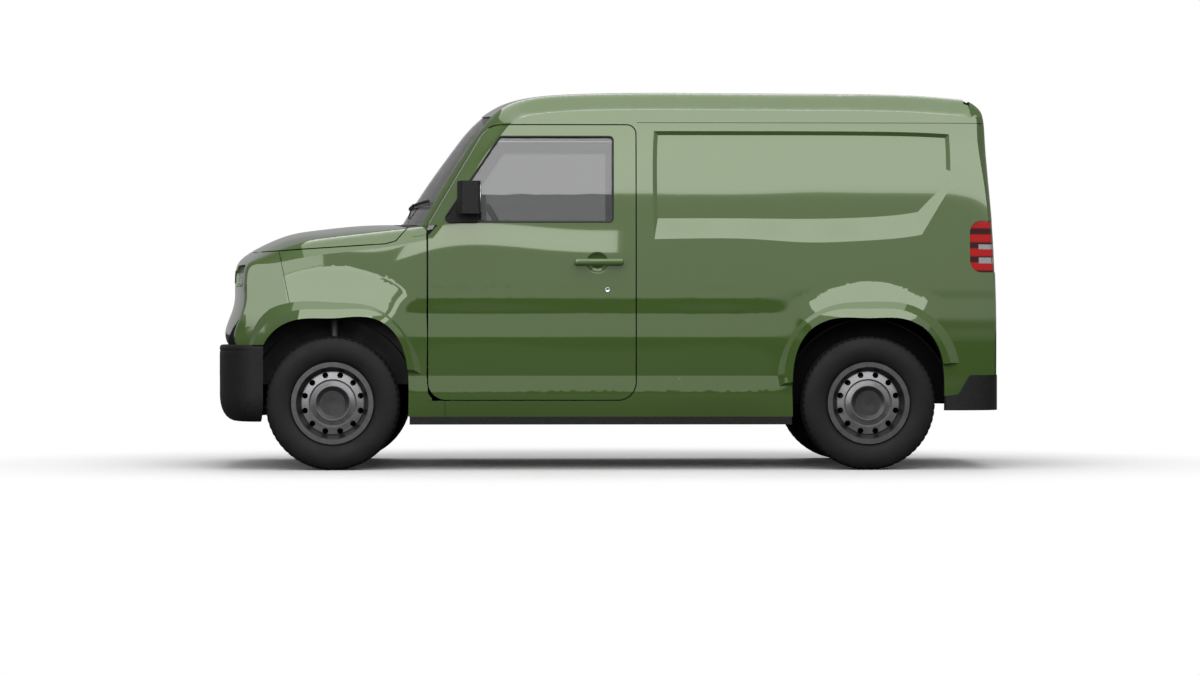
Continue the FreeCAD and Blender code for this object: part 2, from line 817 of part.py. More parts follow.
def make_nose():
    shell = layer(0, van.nose_thickness, nose_space)
    shell = shell.fuse(front_flare.common(nose_space)).fuse(mirrored(front_flare).common(nose_space))
    shell = shell.cut(bonnet_hole).cut(front_opening).cut(mirrored(front_opening))
    shell = shell.cut(block(-far_x, far_x, -far_y, far_y, 0, van.front_bumper_top))
    for side in (-1, 1):
        shell = shell.cut(lamp_pocket(side))
    return largest(shell)


def lamp_pocket(side, shrink=0.0):
    """Opening of one headlamp in the nose."""
    low = van.headlamp_bottom + shrink
    high = van.headlamp_bottom + van.headlamp_height - shrink
    near = van.headlamp_inner_y + shrink
    far = van.headlamp_outer_y - shrink
    corners = ((side * near, low), (side * near, high), (side * far, high), (side * far, low))
    return end_prism(corners, van.headlamp_radius - shrink, -far_x, -van.headlamp_back_x)


def make_headlamps():
    left = largest(layer(van.headlamp_recess, van.headlamp_recess + van.nose_thickness,
                         lamp_pocket(-1, van.fit_gap)))
    return Part.makeCompound([left, mirrored(left)])


def make_side():
    """Left body side from the windscreen pillar to the rear corner, with its door and wheel openings."""
    region = side_prism(((-far_x, van.pillar_foot_height), (-van.sill_joint_x, van.pillar_foot_height),
                         (-van.sill_joint_x, van.sill_height), (far_x, van.sill_height),
                         (far_x, van.roof_seam_height), (-far_x, van.roof_seam_height)), 0, -far_y, -van.overrun)
    panel = skin.common(region)
    panel = panel.fuse(rear_flare)
    panel = panel.cut(rear_opening).cut(bonnet_hole).cut(door_hole).cut(windscreen_hole).cut(tailgate_hole)
    panel = panel.cut(cowl_block).cut(rear_bumper_space).cut(tail_lamp_pocket).cut(recess_tool)
    return largest(panel)


def recess_corner(x, z, depth):
    """A point on the plane that follows the side's inward lean, at a depth under it."""
    lean = (recess_low_y - recess_high_y) / (van.recess_top - van.recess_bottom)
    return Vector(x, -(recess_low_y - (z - van.recess_bottom) * lean - depth), z)


RECESS_PLANE_SHARES = (0.9466, 0.8982)
recess_low_y, recess_high_y = [share * half_width for share in RECESS_PLANE_SHARES]


def recess_loop(depth):
    """Outline of the load side's pressed panel at a depth: its lower edge is a wide soft bevel."""
    part = depth / van.recess_depth
    bottom = van.recess_bottom + van.recess_bevel * part
    top = van.recess_top - van.recess_edge * part
    front = van.recess_front_x + van.recess_edge * part
    rear = van.recess_rear_x - van.recess_edge * part
    step_x = van.recess_foot_x - van.recess_edge * part
    step_z = van.recess_step_height + van.recess_edge * part
    corners = ((front, bottom), (front, top), (rear, top), (rear, step_z), (step_x, bottom + van.recess_edge))
    points = [recess_corner(x, z, depth) for x, z in corners]
    points[-1] = recess_corner(step_x, bottom, depth)
    return Part.makePolygon(points + [points[0]])


def make_recess_tool():
    reach = van.recess_depth * 2
    tool = Part.makeLoft([recess_loop(-van.recess_depth), recess_loop(reach)], True, True)
    return tool.common(left_half).cut(envelope(van.recess_depth))


def make_roof():
    region = block(-far_x, far_x, -far_y, far_y, van.roof_seam_height, far_z)
    shell = skin.common(region).cut(windscreen_hole).cut(tailgate_hole)
    return largest(shell.cut(tailgate_sweep).cut(roof_bar_pads))


def make_windscreen():
    return largest(layer(van.glass_depth, van.glass_depth + van.glass_thickness,
                         windscreen_region(0, -far_x, -van.windscreen_rear_x)))


def make_tailgate():
    gate = layer(0, van.tailgate_thickness, tailgate_region(0))
    gate = gate.cut(rear_bumper_space).cut(rear_window_region(van.fit_gap))
    x = van.tailgate_hinge_x
    z = van.tailgate_hinge_height
    clear = van.hinge_eye_radius + van.shut_gap
    half = van.hinge_strap / 2 + van.shut_gap
    for side in (-1, 1):
        y = side * van.tailgate_hinge_y
        gate = gate.cut(block(van.tailgate_top_x - van.overrun, x + clear, y - half, y + half,
                              z - van.overrun - van.tailgate_thickness, z + van.hinge_eye_radius + van.shut_gap / 4))
        pin_half = half + van.hinge_eye_length
        gate = gate.cut(cross_rod(van.hinge_pin_radius + van.fit_gap, x, z, y - pin_half, y + pin_half))
    return largest(gate)


def rear_window_region(grow):
    low = van.rear_window_bottom - grow
    high = van.rear_window_top + grow
    wide = van.rear_window_half_width + grow
    narrow = wide - van.window_radius
    return end_prism(((-wide, low), (-narrow, high), (narrow, high), (wide, low)), van.window_radius * 2,
                     van.tailgate_top_x, far_x)


def make_tailgate_glass():
    return largest(layer(van.glass_depth, van.glass_depth + van.glass_thickness, rear_window_region(0)))


def make_door():
    frame = skin.common(side_prism(door_corners(), door_radii(), -far_y, -van.overrun))
    front = door_hinge_x + van.door_hinge_setback / 2
    deep_region = side_prism(((front, van.door_bottom_height + van.overrun / 2),
                              (front, van.door_belt_height),
                              (van.door_rear_x - van.overrun, van.door_belt_height),
                              (van.door_rear_x - van.overrun, van.door_bottom_height + van.overrun / 2)),
                             van.window_radius, -far_y, -van.overrun)
    door = frame.fuse(layer(van.bonnet_thickness, van.door_thickness, deep_region))
    thin = block(-far_x, front, -(door_hinge_y - van.fit_gap), 0, 0, van.door_belt_height)
    door = door.cut(thin)
    door = door.cut(side_prism(window_corners(van.fit_gap), van.window_radius, -far_y, 0))
    for z in (van.door_hinge_low, van.door_hinge_high):
        half = van.hinge_eye_length / 2 + van.hinge_lug_length
        door = door.fuse(upright(van.hinge_eye_radius, z - half, z + half))
        door = door.cut(upright(van.hinge_eye_radius + van.shut_gap, z - van.hinge_eye_length / 2 - van.fit_gap,
                                z + van.hinge_eye_length / 2 + van.fit_gap))
        door = door.cut(upright(van.hinge_pin_radius + van.fit_gap, z - half, z + half))
    return largest(door)


def upright(radius, z_from, z_to):
    """Cylinder on the left door's hinge line."""
    return Part.makeCylinder(radius, z_to - z_from, Vector(door_hinge_x, -door_hinge_y, z_from))


def make_hinges():
    """Hinge straps with their pins: two for each door, two for the bonnet and two for the tailgate."""
    solids = []
    eye = van.hinge_eye_radius
    strap = van.hinge_strap
    inner_y = door_hinge_y - van.door_hinge_reach
    post_rear = -van.firewall_x + van.hinge_post_depth + van.fit_gap
    for z in (van.door_hinge_low, van.door_hinge_high):
        half = van.hinge_eye_length / 2
        pin_half = half + van.hinge_lug_length - van.fit_gap
        pin = upright(van.hinge_pin_radius, z - pin_half, z + pin_half)
        arm = block(door_hinge_x, door_hinge_x + strap, -door_hinge_y + eye / 2, -inner_y, z - half, z + half)
        run = block(post_rear, door_hinge_x + strap, -inner_y - strap, -inner_y, z - half, z + half)
        hinge = solid_of(upright(eye, z - half, z + half).multiFuse([pin, arm, run]))
        solids += [hinge, mirrored(hinge)]
    x = -van.bonnet_hinge_x
    z = van.bonnet_hinge_height
    wall_x = -van.firewall_x - van.fit_gap
    for side in (-1, 1):
        inner, outer = sorted((side * (van.bonnet_hinge_y + strap / 2 + van.fit_gap),
                               side * (van.bonnet_hinge_y + strap * 3 / 2)))
        bracket = side_prism(((x - eye / 2, z - eye / 2), (x + eye / 2, z - eye),
                              (wall_x, van.firewall_top - 2 * eye), (wall_x, van.firewall_top - van.bonnet_bracket)),
                             0, inner, outer)
        pin_from, pin_to = sorted((side * (van.bonnet_hinge_y - strap * 3 / 4), (inner + outer) / 2))
        solids.append(solid_of(cross_rod(eye, x, z, inner, outer).multiFuse(
            [bracket, cross_rod(van.hinge_pin_radius, x, z, pin_from, pin_to)])))
    x = van.tailgate_hinge_x
    z = van.tailgate_hinge_height
    inner_form = envelope(van.wall_thickness + van.fit_gap)
    for side in (-1, 1):
        y = side * van.tailgate_hinge_y
        low = z - van.tailgate_arm_drop - strap / 2
        drop = block(x - strap / 2, x + strap / 2, y - strap / 2, y + strap / 2, low, z)
        run = block(x - van.tailgate_arm_reach, x, y - strap / 2, y + strap / 2, low, low + strap)
        foot = block(x - van.tailgate_arm_reach, x - van.tailgate_arm_reach + strap, y - strap / 2, y + strap / 2,
                     low, far_z).common(inner_form)
        solids.append(largest(hinge_eye(x, z, y).multiFuse([drop, run, foot])))
    return Part.makeCompound(solids)


def hinge_eye(x, z, y):
    """Eye and pin of a hinge whose line runs across the van."""
    pin_half = van.hinge_strap / 2 + van.shut_gap + van.hinge_eye_length - van.fit_gap
    eye = cross_rod(van.hinge_eye_radius, x, z, y - van.hinge_strap / 2, y + van.hinge_strap / 2)
    return eye.fuse(cross_rod(van.hinge_pin_radius, x, z, y - pin_half, y + pin_half))


def make_door_glass():
    depth = van.glass_depth * 2
    return largest(layer(depth, depth + van.glass_thickness,
                         side_prism(window_corners(), van.window_radius, -far_y, -van.overrun)))


def make_handle():
    """Pull bar standing off the door on two feet."""
    rear = van.handle_rear_x
    front = rear - van.handle_length
    low = van.handle_height - van.handle_bar_height / 2
    face = side_y - van.fit_gap
    bar = block(front, rear, -(face + van.handle_stand_off + van.handle_depth), -(face + van.handle_stand_off),
                low, low + van.handle_bar_height)
    bar = bar.makeFillet(van.handle_round, bar.Edges)
    foot = van.handle_bar_height
    feet = []
    for x in (front + foot / 4, rear - foot * 5 / 4):
        feet.append(block(x, x + foot, -(face + van.handle_stand_off + van.handle_depth / 2), -(face - foot),
                          low + foot / 6, low + foot * 5 / 6))
    handle = bar.fuse(feet[0]).fuse(feet[1])
    return largest(handle.cut(envelope(-van.fit_gap)))


def make_mirror():
    """Door mirror: a foot on the window's front corner and a housing with a two-faced front."""
    front = -van.mirror_front_x
    rear = front + van.mirror_length
    low = van.mirror_bottom_height
    high = low + van.mirror_height
    root = van.mirror_root
    tip = van.mirror_reach
    corners = ((front + van.mirror_rear_run, -root), (front, -(root + van.overrun)),
               (front + van.mirror_face_run, -tip), (rear, -tip), (rear, -root))
    wire = rounded_wire([Vector(x, y, low) for x, y in corners], van.mirror_corner_radius)
    housing = Part.Face(wire).extrude(Vector(0, 0, high - low))
    sill = van.window_sill_height
    foot = side_prism(((-van.window_front_x + van.mirror_foot_start, sill + van.fit_gap),
                       (-van.window_front_x + van.mirror_foot_step, sill + van.mirror_foot_rise),
                       (-van.window_front_x + van.mirror_foot_rise, sill + van.mirror_foot_rise),
                       (-van.window_front_x + van.mirror_foot_rise, sill + van.fit_gap)),
                      van.window_radius / 2, -(root + van.mirror_foot_start), -van.overrun)
    foot = foot.cut(envelope(van.glass_depth * 2 - van.fit_gap))
    return largest(housing.fuse(foot))


def bumper_bar(front_table, top, bottom, wall, front_sign):
    """A bumper moulding: a plan outline bent round the corners, hollowed to its wall."""
    outer = []
    inner = []
    for along, across in front_table:
        outer.append(Vector(front_sign * (half_length - along * half_width), across * half_width, bottom))
        inner.append(Vector(front_sign * (half_length - along * half_width - wall), across * (half_width - wall), bottom))
    edge_out = spline_edge(outer)
    edge_in = spline_edge(inner)
    wire = Part.Wire([edge_out, Part.makeLine(outer[-1], inner[-1]), edge_in, Part.makeLine(inner[0], outer[0])])
    return Part.Face(wire).extrude(Vector(0, 0, top - bottom))


BUMPER_PLAN_SHARES = (
    (0.335, -0.975), (0.20, -0.955), (0.095, -0.84), (0.035, -0.60), (0.008, -0.30), (0.0, 0.0),
    (0.008, 0.30), (0.035, 0.60), (0.095, 0.84), (0.20, 0.955), (0.335, 0.975),
)
REAR_PLAN_SHARES = (
    (0.375, -0.970), (0.20, -0.965), (0.08, -0.90), (0.025, -0.70), (0.005, -0.35), (0.0, 0.0),
    (0.005, 0.35), (0.025, 0.70), (0.08, 0.90), (0.20, 0.965), (0.375, 0.970),
)


def make_front_bumper():
    bar = bumper_bar(BUMPER_PLAN_SHARES, van.front_bumper_top, van.front_bumper_bottom, van.front_bumper_wall, -1)
    return largest(bar.cut(front_opening).cut(mirrored(front_opening)))


def make_rear_bumper():
    bar = bumper_bar(REAR_PLAN_SHARES, van.rear_bumper_top, van.rear_bumper_bottom, van.rear_bumper_wall, 1)
    bar = bar.cut(rear_opening).cut(mirrored(rear_opening)).cut(rear_bumper_cut)
    return largest(bar)


OPENING_END_SHARE = 1.15
BUMPER_START_SHARE = 1.1


def make_sill_trims():
    front = front_axle_x + van.tyre_radius * OPENING_END_SHARE
    rear = rear_axle_x - van.tyre_radius * OPENING_END_SHARE
    trims = []
    for side in (-1, 1):
        near = side * (side_y - van.fit_gap)
        far = side * (side_y - van.sill_trim_width)
        trims.append(block(front, rear, min(near, far), max(near, far), van.sill_trim_bottom, van.sill_trim_top))
    return Part.makeCompound(trims)


def make_cowl():
    """Black scuttle between the bonnet's rear edge and the windscreen."""
    return largest(front_skin.common(cowl_block).cut(bonnet_hole).cut(windscreen_hole))


def make_bulkhead():
    """Partition between the cab and the load space, following the body's inside."""
    slab = block(van.bulkhead_x, van.bulkhead_x + van.bulkhead_thickness, -far_y, far_y,
                 van.floor_height + van.fit_gap, far_z)
    return largest(envelope(van.wall_thickness + van.fit_gap).common(slab))


def make_floor():
    """Flat floor plate of cab and load space, open over the rear wheels."""
    slab = block(-van.firewall_x + van.firewall_thickness + van.fit_gap, van.tailgate_top_x - van.shut_gap,
                 -far_y, far_y, van.floor_height - van.floor_plate, van.floor_height)
    plate = envelope(van.wall_thickness + van.fit_gap).common(slab)
    for side in (-1, 1):
        plate = plate.cut(wheel_box(side, van.fit_gap))
    for side in (-1, 1):
        low, high = sorted((side * (side_y - van.door_thickness - van.shut_gap), side * far_y))
        plate = plate.cut(block(-far_x, van.door_rear_x + van.shut_gap * 2, low, high, 0, far_z))
    return largest(plate)


def wheel_box(side, grow):
    """Space taken by a rear wheel's housing."""
    low, high = sorted((side * (van.tub_inner_y - grow), side * far_y))
    radius = van.liner_radius + van.liner_wall + grow
    return Part.makeCylinder(radius, high - low, Vector(rear_axle_x, low, van.tyre_radius), Vector(0, 1, 0))


def make_liners():
    """Arch liners: a curved strip over each front wheel and a closed tub over each rear one."""
    solids = []
    inner_form = envelope(van.wall_thickness + van.fit_gap)
    for side in (-1, 1):
        tub = wheel_box(side, 0)
        low, high = sorted((side * (van.tub_inner_y + van.liner_wall), side * far_y))
        hollow = Part.makeCylinder(van.liner_radius, high - low, Vector(rear_axle_x, low, van.tyre_radius),
                                   Vector(0, 1, 0))
        tub = tub.cut(hollow).common(inner_form)
        tub = tub.cut(block(-far_x, far_x, -far_y, far_y, 0, van.tyre_radius))
        tub = tub.cut(Part.makeCylinder(van.axle_tube_radius + van.shut_gap, 2 * far_y,
                                        Vector(rear_axle_x, -far_y, van.tyre_radius), Vector(0, 1, 0)))
        solids.append(largest(tub))
        low, high = sorted((side * van.liner_inner_y, side * far_y))
        strip = Part.makeCylinder(van.liner_radius + van.liner_wall, high - low,
                                  Vector(front_axle_x, low, van.tyre_radius), Vector(0, 1, 0))
        strip = strip.cut(Part.makeCylinder(van.liner_radius, high - low,
                                            Vector(front_axle_x, low, van.tyre_radius), Vector(0, 1, 0)))
        strip = strip.common(inner_form)
        strip = strip.cut(block(-far_x, far_x, -far_y, far_y, 0, van.tyre_radius))
        strip = strip.cut(block(-van.firewall_x - van.fit_gap, far_x, -far_y, far_y, 0, far_z))
        solids.append(largest(strip))
    return Part.makeCompound(solids)


def make_front_structure():
    """Rails, aprons, strut towers, bumper beam and firewall, welded into one frame."""
    front = -van.bay_front_x
    rear = -van.firewall_x
    parts = []
    for side in (-1, 1):
        low, high = sorted((side * (van.rail_y - van.rail_width / 2), side * (van.rail_y + van.rail_width / 2)))
        parts.append(block(-van.beam_front_x + van.beam_depth / 2, rear + van.firewall_thickness / 2, low, high,
                           van.rail_bottom, van.rail_bottom + van.rail_height))
        low, high = sorted((side * van.apron_y, side * (van.apron_y + van.apron_thickness)))
        parts.append(block(front, rear + van.firewall_thickness / 2, low, high,
                           van.rail_bottom + van.rail_height / 2, van.apron_top))
        low, high = sorted((side * van.apron_y, side * (van.apron_y + van.tower_width)))
        parts.append(block(front_axle_x - van.tower_half_length, front_axle_x + van.tower_half_length, low, high,
                           van.kingpin_top_height, van.kingpin_top_height + van.tower_thickness))
        low, high = sorted((side * (van.firewall_half_width - van.hinge_post_width), side * van.firewall_half_width))
        parts.append(block(rear, rear + van.hinge_post_depth, low, high, van.rail_bottom, van.firewall_top))
    parts.append(block(rear, rear + van.firewall_thickness, -van.firewall_half_width, van.firewall_half_width,
                       van.floor_height - van.floor_plate, van.firewall_top))
    parts.append(block(-van.beam_front_x, -van.beam_front_x + van.beam_depth, -van.beam_half_width,
                       van.beam_half_width, van.beam_centre_height - van.beam_height / 2,
                       van.beam_centre_height + van.beam_height / 2))
    for x in (front_axle_x - van.power_unit_length / 3, front_axle_x + van.power_unit_length / 3):
        parts.append(block(x - van.rail_width / 2, x + van.rail_width / 2, -van.rail_y, van.rail_y,
                           van.rail_bottom, van.rail_bottom + van.cross_rail_height))
    frame = parts[0].multiFuse(parts[1:])
    frame = frame.common(envelope(van.nose_thickness + van.fit_gap).fuse(
        block(-far_x, 0, -van.rail_y, van.rail_y, 0, van.front_bumper_top)))
    return largest(frame.removeSplitter())


def make_dashboard():
    front = -van.firewall_x + van.firewall_thickness + van.fit_gap
    rear = front + van.dash_depth
    low = van.dash_top_height - van.dash_height
    high = van.dash_top_height
    step = van.dash_depth / 4
    profile = ((front, low), (front, high + step / 4), (front + step, high + step / 2), (rear - step, high),
               (rear, high - step), (rear - step / 4, low))
    return side_prism(profile, [0, 0, step / 3, step / 2, step / 3, step / 3],
                      -van.dash_half_width, van.dash_half_width)


def ring_of_eight(radius, grip, centre, axis):
    """Ring of an eight-sided section round an axis."""
    outward = axis.cross(Vector(0, 1, 0)).normalize()
    points = []
    for index in range(8):
        turn = math.pi / 8 + index * math.pi / 4
        points.append(centre + outward * (radius + grip * math.cos(turn)) + axis * (grip * math.sin(turn)))
    face = Part.Face(Part.makePolygon(points + [points[0]]))
    return face.revolve(centre, axis, 360)


def make_steering_wheel():
    """Rim, hub and spokes on a column that enters the dashboard."""
    centre = Vector(-van.steering_wheel_x, -van.seat_y, van.steering_wheel_height)
    tilt = math.radians(van.steering_wheel_tilt)
    axis = Vector(math.cos(tilt), 0, math.sin(tilt))
    grip = van.steering_wheel_grip
    ring = ring_of_eight(van.steering_wheel_radius, grip, centre, axis)
    hub = Part.makeCylinder(van.steering_hub_radius, grip * 2, centre - axis * grip * 2, axis)
    across = Vector(0, 1, 0)
    reach = van.steering_wheel_radius
    spoke = Part.makeCylinder(van.steering_spoke_radius, reach * 2, centre - across * reach - axis * grip / 2, across)
    down = axis.cross(across)
    lower = Part.makeCylinder(van.steering_spoke_radius, reach, centre - axis * grip / 2, down)
    dash_rear = -van.firewall_x + van.firewall_thickness + van.dash_depth
    column_length = (centre.x - dash_rear + van.dash_depth / 8) / math.cos(tilt)
    column = Part.makeCylinder(van.steering_column_radius, column_length, centre, axis * -1)
    wheel = ring.multiFuse([hub, spoke, lower, column])
    return largest(wheel.cut(dashboard_shape))


def make_tail_lamps():
    left = largest(layer(van.tail_lamp_recess, van.tail_lamp_depth, tail_lamp_space(van.fit_gap)))
    return Part.makeCompound([left, mirrored(left)])


def tail_lamp_space(shrink):
    """Rounded pocket that wraps the left rear corner."""
    low = van.tail_lamp_bottom + shrink
    high = low + van.tail_lamp_height - 2 * shrink
    return side_prism(((van.tail_lamp_front_x + shrink, low), (van.tail_lamp_front_x + shrink, high),
                       (far_x, high), (far_x, low)),
                      [van.tail_lamp_radius - shrink, van.tail_lamp_radius - shrink, 0, 0],
                      -far_y, -van.tail_lamp_inner_y - shrink)


def make_seats():
    """Two seats: a cushion and a back with its headrest on each side."""
    solids = []
    front = -van.seat_front_x
    rear = front + van.seat_length
    low = van.seat_cushion_bottom
    round_off = van.seat_cushion_height / 3
    for side in (-1, 1):
        near = side * van.seat_y - van.seat_width / 2
        far = near + van.seat_width
        cushion = side_prism(((front, low), (front, low + van.seat_cushion_height),
                              (rear, low + van.seat_cushion_height - round_off), (rear, low)), round_off, near, far)
        top = low + van.seat_cushion_height
        lean = van.seat_back_lean
        back = side_prism(((rear + van.fit_gap, low), (rear + van.fit_gap, top),
                           (rear + lean, top + van.seat_back_height),
                           (rear + lean + van.seat_back_thickness, top + van.seat_back_height),
                           (rear + van.seat_back_thickness, low)),
                          [0, 0, round_off, round_off, round_off / 2], near, far)
        head_low = top + van.seat_back_height + van.fit_gap
        head = side_prism(((rear + lean, head_low), (rear + lean, head_low + van.headrest_height),
                           (rear + lean + van.seat_back_thickness, head_low + van.headrest_height),
                           (rear + lean + van.seat_back_thickness, head_low)),
                          round_off, near + van.seat_width / 4, far - van.seat_width / 4)
        solids += [cushion, back, head]
    return Part.makeCompound(solids)


def make_lower_arms():
    """Wishbones and their crossmember under the front rails, with strips that carry the kingpins' feet."""
    parts = []
    foot_z = van.kingpin_foot_height
    cross_top = van.rail_bottom
    for side in (-1, 1):
        tip = Vector(front_axle_x, side * van.kingpin_foot_y, foot_z)
        for x in (front_axle_x - van.arm_radius * 2, front_axle_x + van.arm_rear_reach):
            root = Vector(x, side * (van.rail_y - van.rail_width), foot_z + van.arm_radius * 2)
            run = tip - root
            parts.append(Part.makeCylinder(van.arm_radius, run.Length, root, run))
        parts.append(Part.makeSphere(van.arm_ball_radius, tip))
    width = van.rail_y + van.rail_width / 2
    for x in (front_axle_x - van.arm_radius * 2, front_axle_x + van.arm_rear_reach):
        parts.append(block(x - van.rail_width / 2, x + van.rail_width / 2, -width, width,
                           foot_z + van.arm_radius, foot_z + van.arm_radius * 4))
        for side in (-1, 1):
            low, high = sorted((side * (width - van.rail_width), side * width))
            parts.append(block(x - van.rail_width / 2, x + van.rail_width / 2, low, high,
                               foot_z + van.arm_radius, cross_top - van.fit_gap))
    return largest(parts[0].multiFuse(parts[1:]))


def kingpin_axis(side):
    top = Vector(front_axle_x, side * van.kingpin_top_y, van.kingpin_top_height)
    foot = Vector(front_axle_x, side * van.kingpin_foot_y, van.kingpin_foot_height)
    return foot, top


def make_knuckle(side):
    """Hub carrier, spindle and strut that turn together about the kingpin line."""
    foot, top = kingpin_axis(side)
    line = (top - foot).normalize()
    inner = wheel_centre_y - van.hub_boss_inner - van.shut_gap
    strut_y = van.kingpin_top_y + van.strut_offset
    start = Vector(front_axle_x, side * strut_y, van.tyre_radius)
    across = Vector(0, side, 0)
    carrier = Part.makeCylinder(van.hub_radius, inner - strut_y, start, across)
    spindle = Part.makeCylinder(van.spindle_radius, wheel_centre_y + van.spindle_reach - strut_y, start, across)
    ball = top - line * ((van.strut_ball_radius + van.fit_gap) / line.z)
    strut = Part.makeCylinder(van.strut_radius, (ball - start).Length, start, ball - start)
    socket = foot + line * (van.arm_ball_radius + van.fit_gap)
    pin_length = (van.tyre_radius - socket.z) / line.z
    pin = Part.makeCylinder(van.kingpin_radius, pin_length, socket, line)
    return largest(carrier.multiFuse([spindle, strut, pin, Part.makeSphere(van.strut_ball_radius, ball)]))


def make_rear_axle():
    """Beam axle with spindles, carried by two leaf springs under the floor."""
    reach = wheel_centre_y + van.spindle_reach
    inner = wheel_centre_y - van.hub_boss_inner - van.shut_gap
    centre = Vector(rear_axle_x, 0, van.tyre_radius)
    across = Vector(0, 1, 0)
    parts = [Part.makeCylinder(van.axle_tube_radius, inner * 2, centre - across * inner, across),
             Part.makeCylinder(van.spindle_radius, reach * 2, centre - across * reach, across)]
    for side in (-1, 1):
        low, high = sorted((side * (van.spring_y - van.spring_width / 2), side * (van.spring_y + van.spring_width / 2)))
        eye_z = van.floor_height - van.floor_plate - van.fit_gap
        dip_z = van.tyre_radius - van.axle_tube_radius + van.spring_thickness / 2
        half = van.spring_half_length
        upper = Part.Arc(Vector(rear_axle_x - half, low, eye_z), Vector(rear_axle_x, low, dip_z),
                         Vector(rear_axle_x + half, low, eye_z)).toShape()
        lower = Part.Arc(Vector(rear_axle_x - half, low, eye_z - van.spring_thickness),
                         Vector(rear_axle_x, low, dip_z - van.spring_thickness),
                         Vector(rear_axle_x + half, low, eye_z - van.spring_thickness)).toShape()
        ends = [Part.makeLine(Vector(rear_axle_x - half, low, eye_z),
                              Vector(rear_axle_x - half, low, eye_z - van.spring_thickness)),
                Part.makeLine(Vector(rear_axle_x + half, low, eye_z),
                              Vector(rear_axle_x + half, low, eye_z - van.spring_thickness))]
        leaf = Part.Face(join_wire([upper, lower] + ends)).extrude(Vector(0, high - low, 0))
        parts.append(leaf)
    return largest(parts[0].multiFuse(parts[1:]))


def roof_bar_cut():
    """Flat-bottomed pads with threaded holes for roof bars."""
    cuts = []
    for x in (van.roof_bar_centre_x - van.roof_bar_spacing / 2, van.roof_bar_centre_x + van.roof_bar_spacing / 2):
        for y in (-van.roof_bar_half_span, van.roof_bar_half_span):
            cuts.append(Part.makeCylinder(van.roof_bar_pad, far_z, Vector(x, y, roof_pad_z)))
            cuts.append(Part.makeCylinder(van.roof_bar_hole, van.overrun, Vector(x, y, roof_pad_z - van.overrun / 3)))
    return Part.makeCompound(cuts)


# Named spaces that several pieces share
wheel_centre_y = van.tyre_face - van.tyre_width / 2
roof_pad_z = van.roof_pad_height
cowl_block = block(-far_x, -van.cowl_rear_x, -van.cowl_half_width, van.cowl_half_width,
                   van.pillar_foot_height - van.overrun * 2, van.pillar_foot_height + van.overrun)
bumper_front_x = rear_axle_x + van.tyre_radius * BUMPER_START_SHARE
rear_bumper_space = side_prism(((van.tail_lamp_front_x, van.rear_bumper_top + van.fit_gap),
                                (far_x, van.rear_bumper_top + van.fit_gap), (far_x, 0),
                                (bumper_front_x, 0),
                                (bumper_front_x, van.rear_bumper_step),
                                (van.tail_lamp_front_x - van.overrun,
                                 van.rear_bumper_step + van.overrun / 6 + van.fit_gap)), 0, -far_y, far_y)
rear_bumper_cut = side_prism(((bumper_front_x, van.rear_bumper_step - van.fit_gap),
                              (van.tail_lamp_front_x - van.overrun, van.rear_bumper_step + van.overrun / 6),
                              (van.tail_lamp_front_x, van.rear_bumper_top), (van.tail_lamp_front_x, far_z),
                              (bumper_front_x, far_z)), 0, -far_y, far_y)
tail_lamp_pocket = tail_lamp_space(0)
recess_tool = make_recess_tool()
roof_bar_pads = roof_bar_cut()
dashboard_shape = make_dashboard()

left_side = make_side()
left_fender = make_fender()
left_door = make_door()
left_glass = make_door_glass()
left_handle = make_handle()
left_mirror = make_mirror()

add_feature("side_left", left_side)
add_feature("side_right", mirrored(left_side))
add_feature("roof", make_roof())
add_feature("fender_left", left_fender)
add_feature("fender_right", mirrored(left_fender))
add_feature("nose", make_nose())
add_feature("bonnet", make_bonnet())
add_feature("cowl", make_cowl())
add_feature("windscreen", make_windscreen())
add_feature("door_left", left_door)
add_feature("door_right", mirrored(left_door))
add_feature("door_glass_left", left_glass)
add_feature("door_glass_right", mirrored(left_glass))
add_feature("handle_left", left_handle)
add_feature("handle_right", mirrored(left_handle))
add_feature("mirror_left", left_mirror)
add_feature("mirror_right", mirrored(left_mirror))
add_feature("tailgate", make_tailgate())
add_feature("tailgate_glass", make_tailgate_glass())
add_feature("headlamps", make_headlamps())
add_feature("tail_lamps", make_tail_lamps())
add_feature("front_bumper", make_front_bumper())
add_feature("rear_bumper", make_rear_bumper())
add_feature("sill_trims", make_sill_trims())
add_feature("floor", make_floor())
add_feature("bulkhead", make_bulkhead())
add_feature("wheel_liners", make_liners())
add_feature("hinges", make_hinges())
add_feature("front_structure", make_front_structure())
add_feature("dashboard", dashboard_shape)
add_feature("steering_wheel", make_steering_wheel())
add_feature("seats", make_seats())
add_feature("lower_arms", make_lower_arms())
add_feature("knuckle_left", make_knuckle(-1))
add_feature("knuckle_right", make_knuckle(1))
add_feature("rear_axle", make_rear_axle())


def add_box(label, length, width, height, x, y, z):
    """A plain block whose sizes and place are written from the sheet."""
    box = doc.addObject("Part::Box", label)
    box.Label = label
    for name, words in (("Length", length), ("Width", width), ("Height", height),
                        (".Placement.Base.x", x), (".Placement.Base.y", y), (".Placement.Base.z", z)):
        box.setExpression(name, words)
    pieces.append(box)
    return box


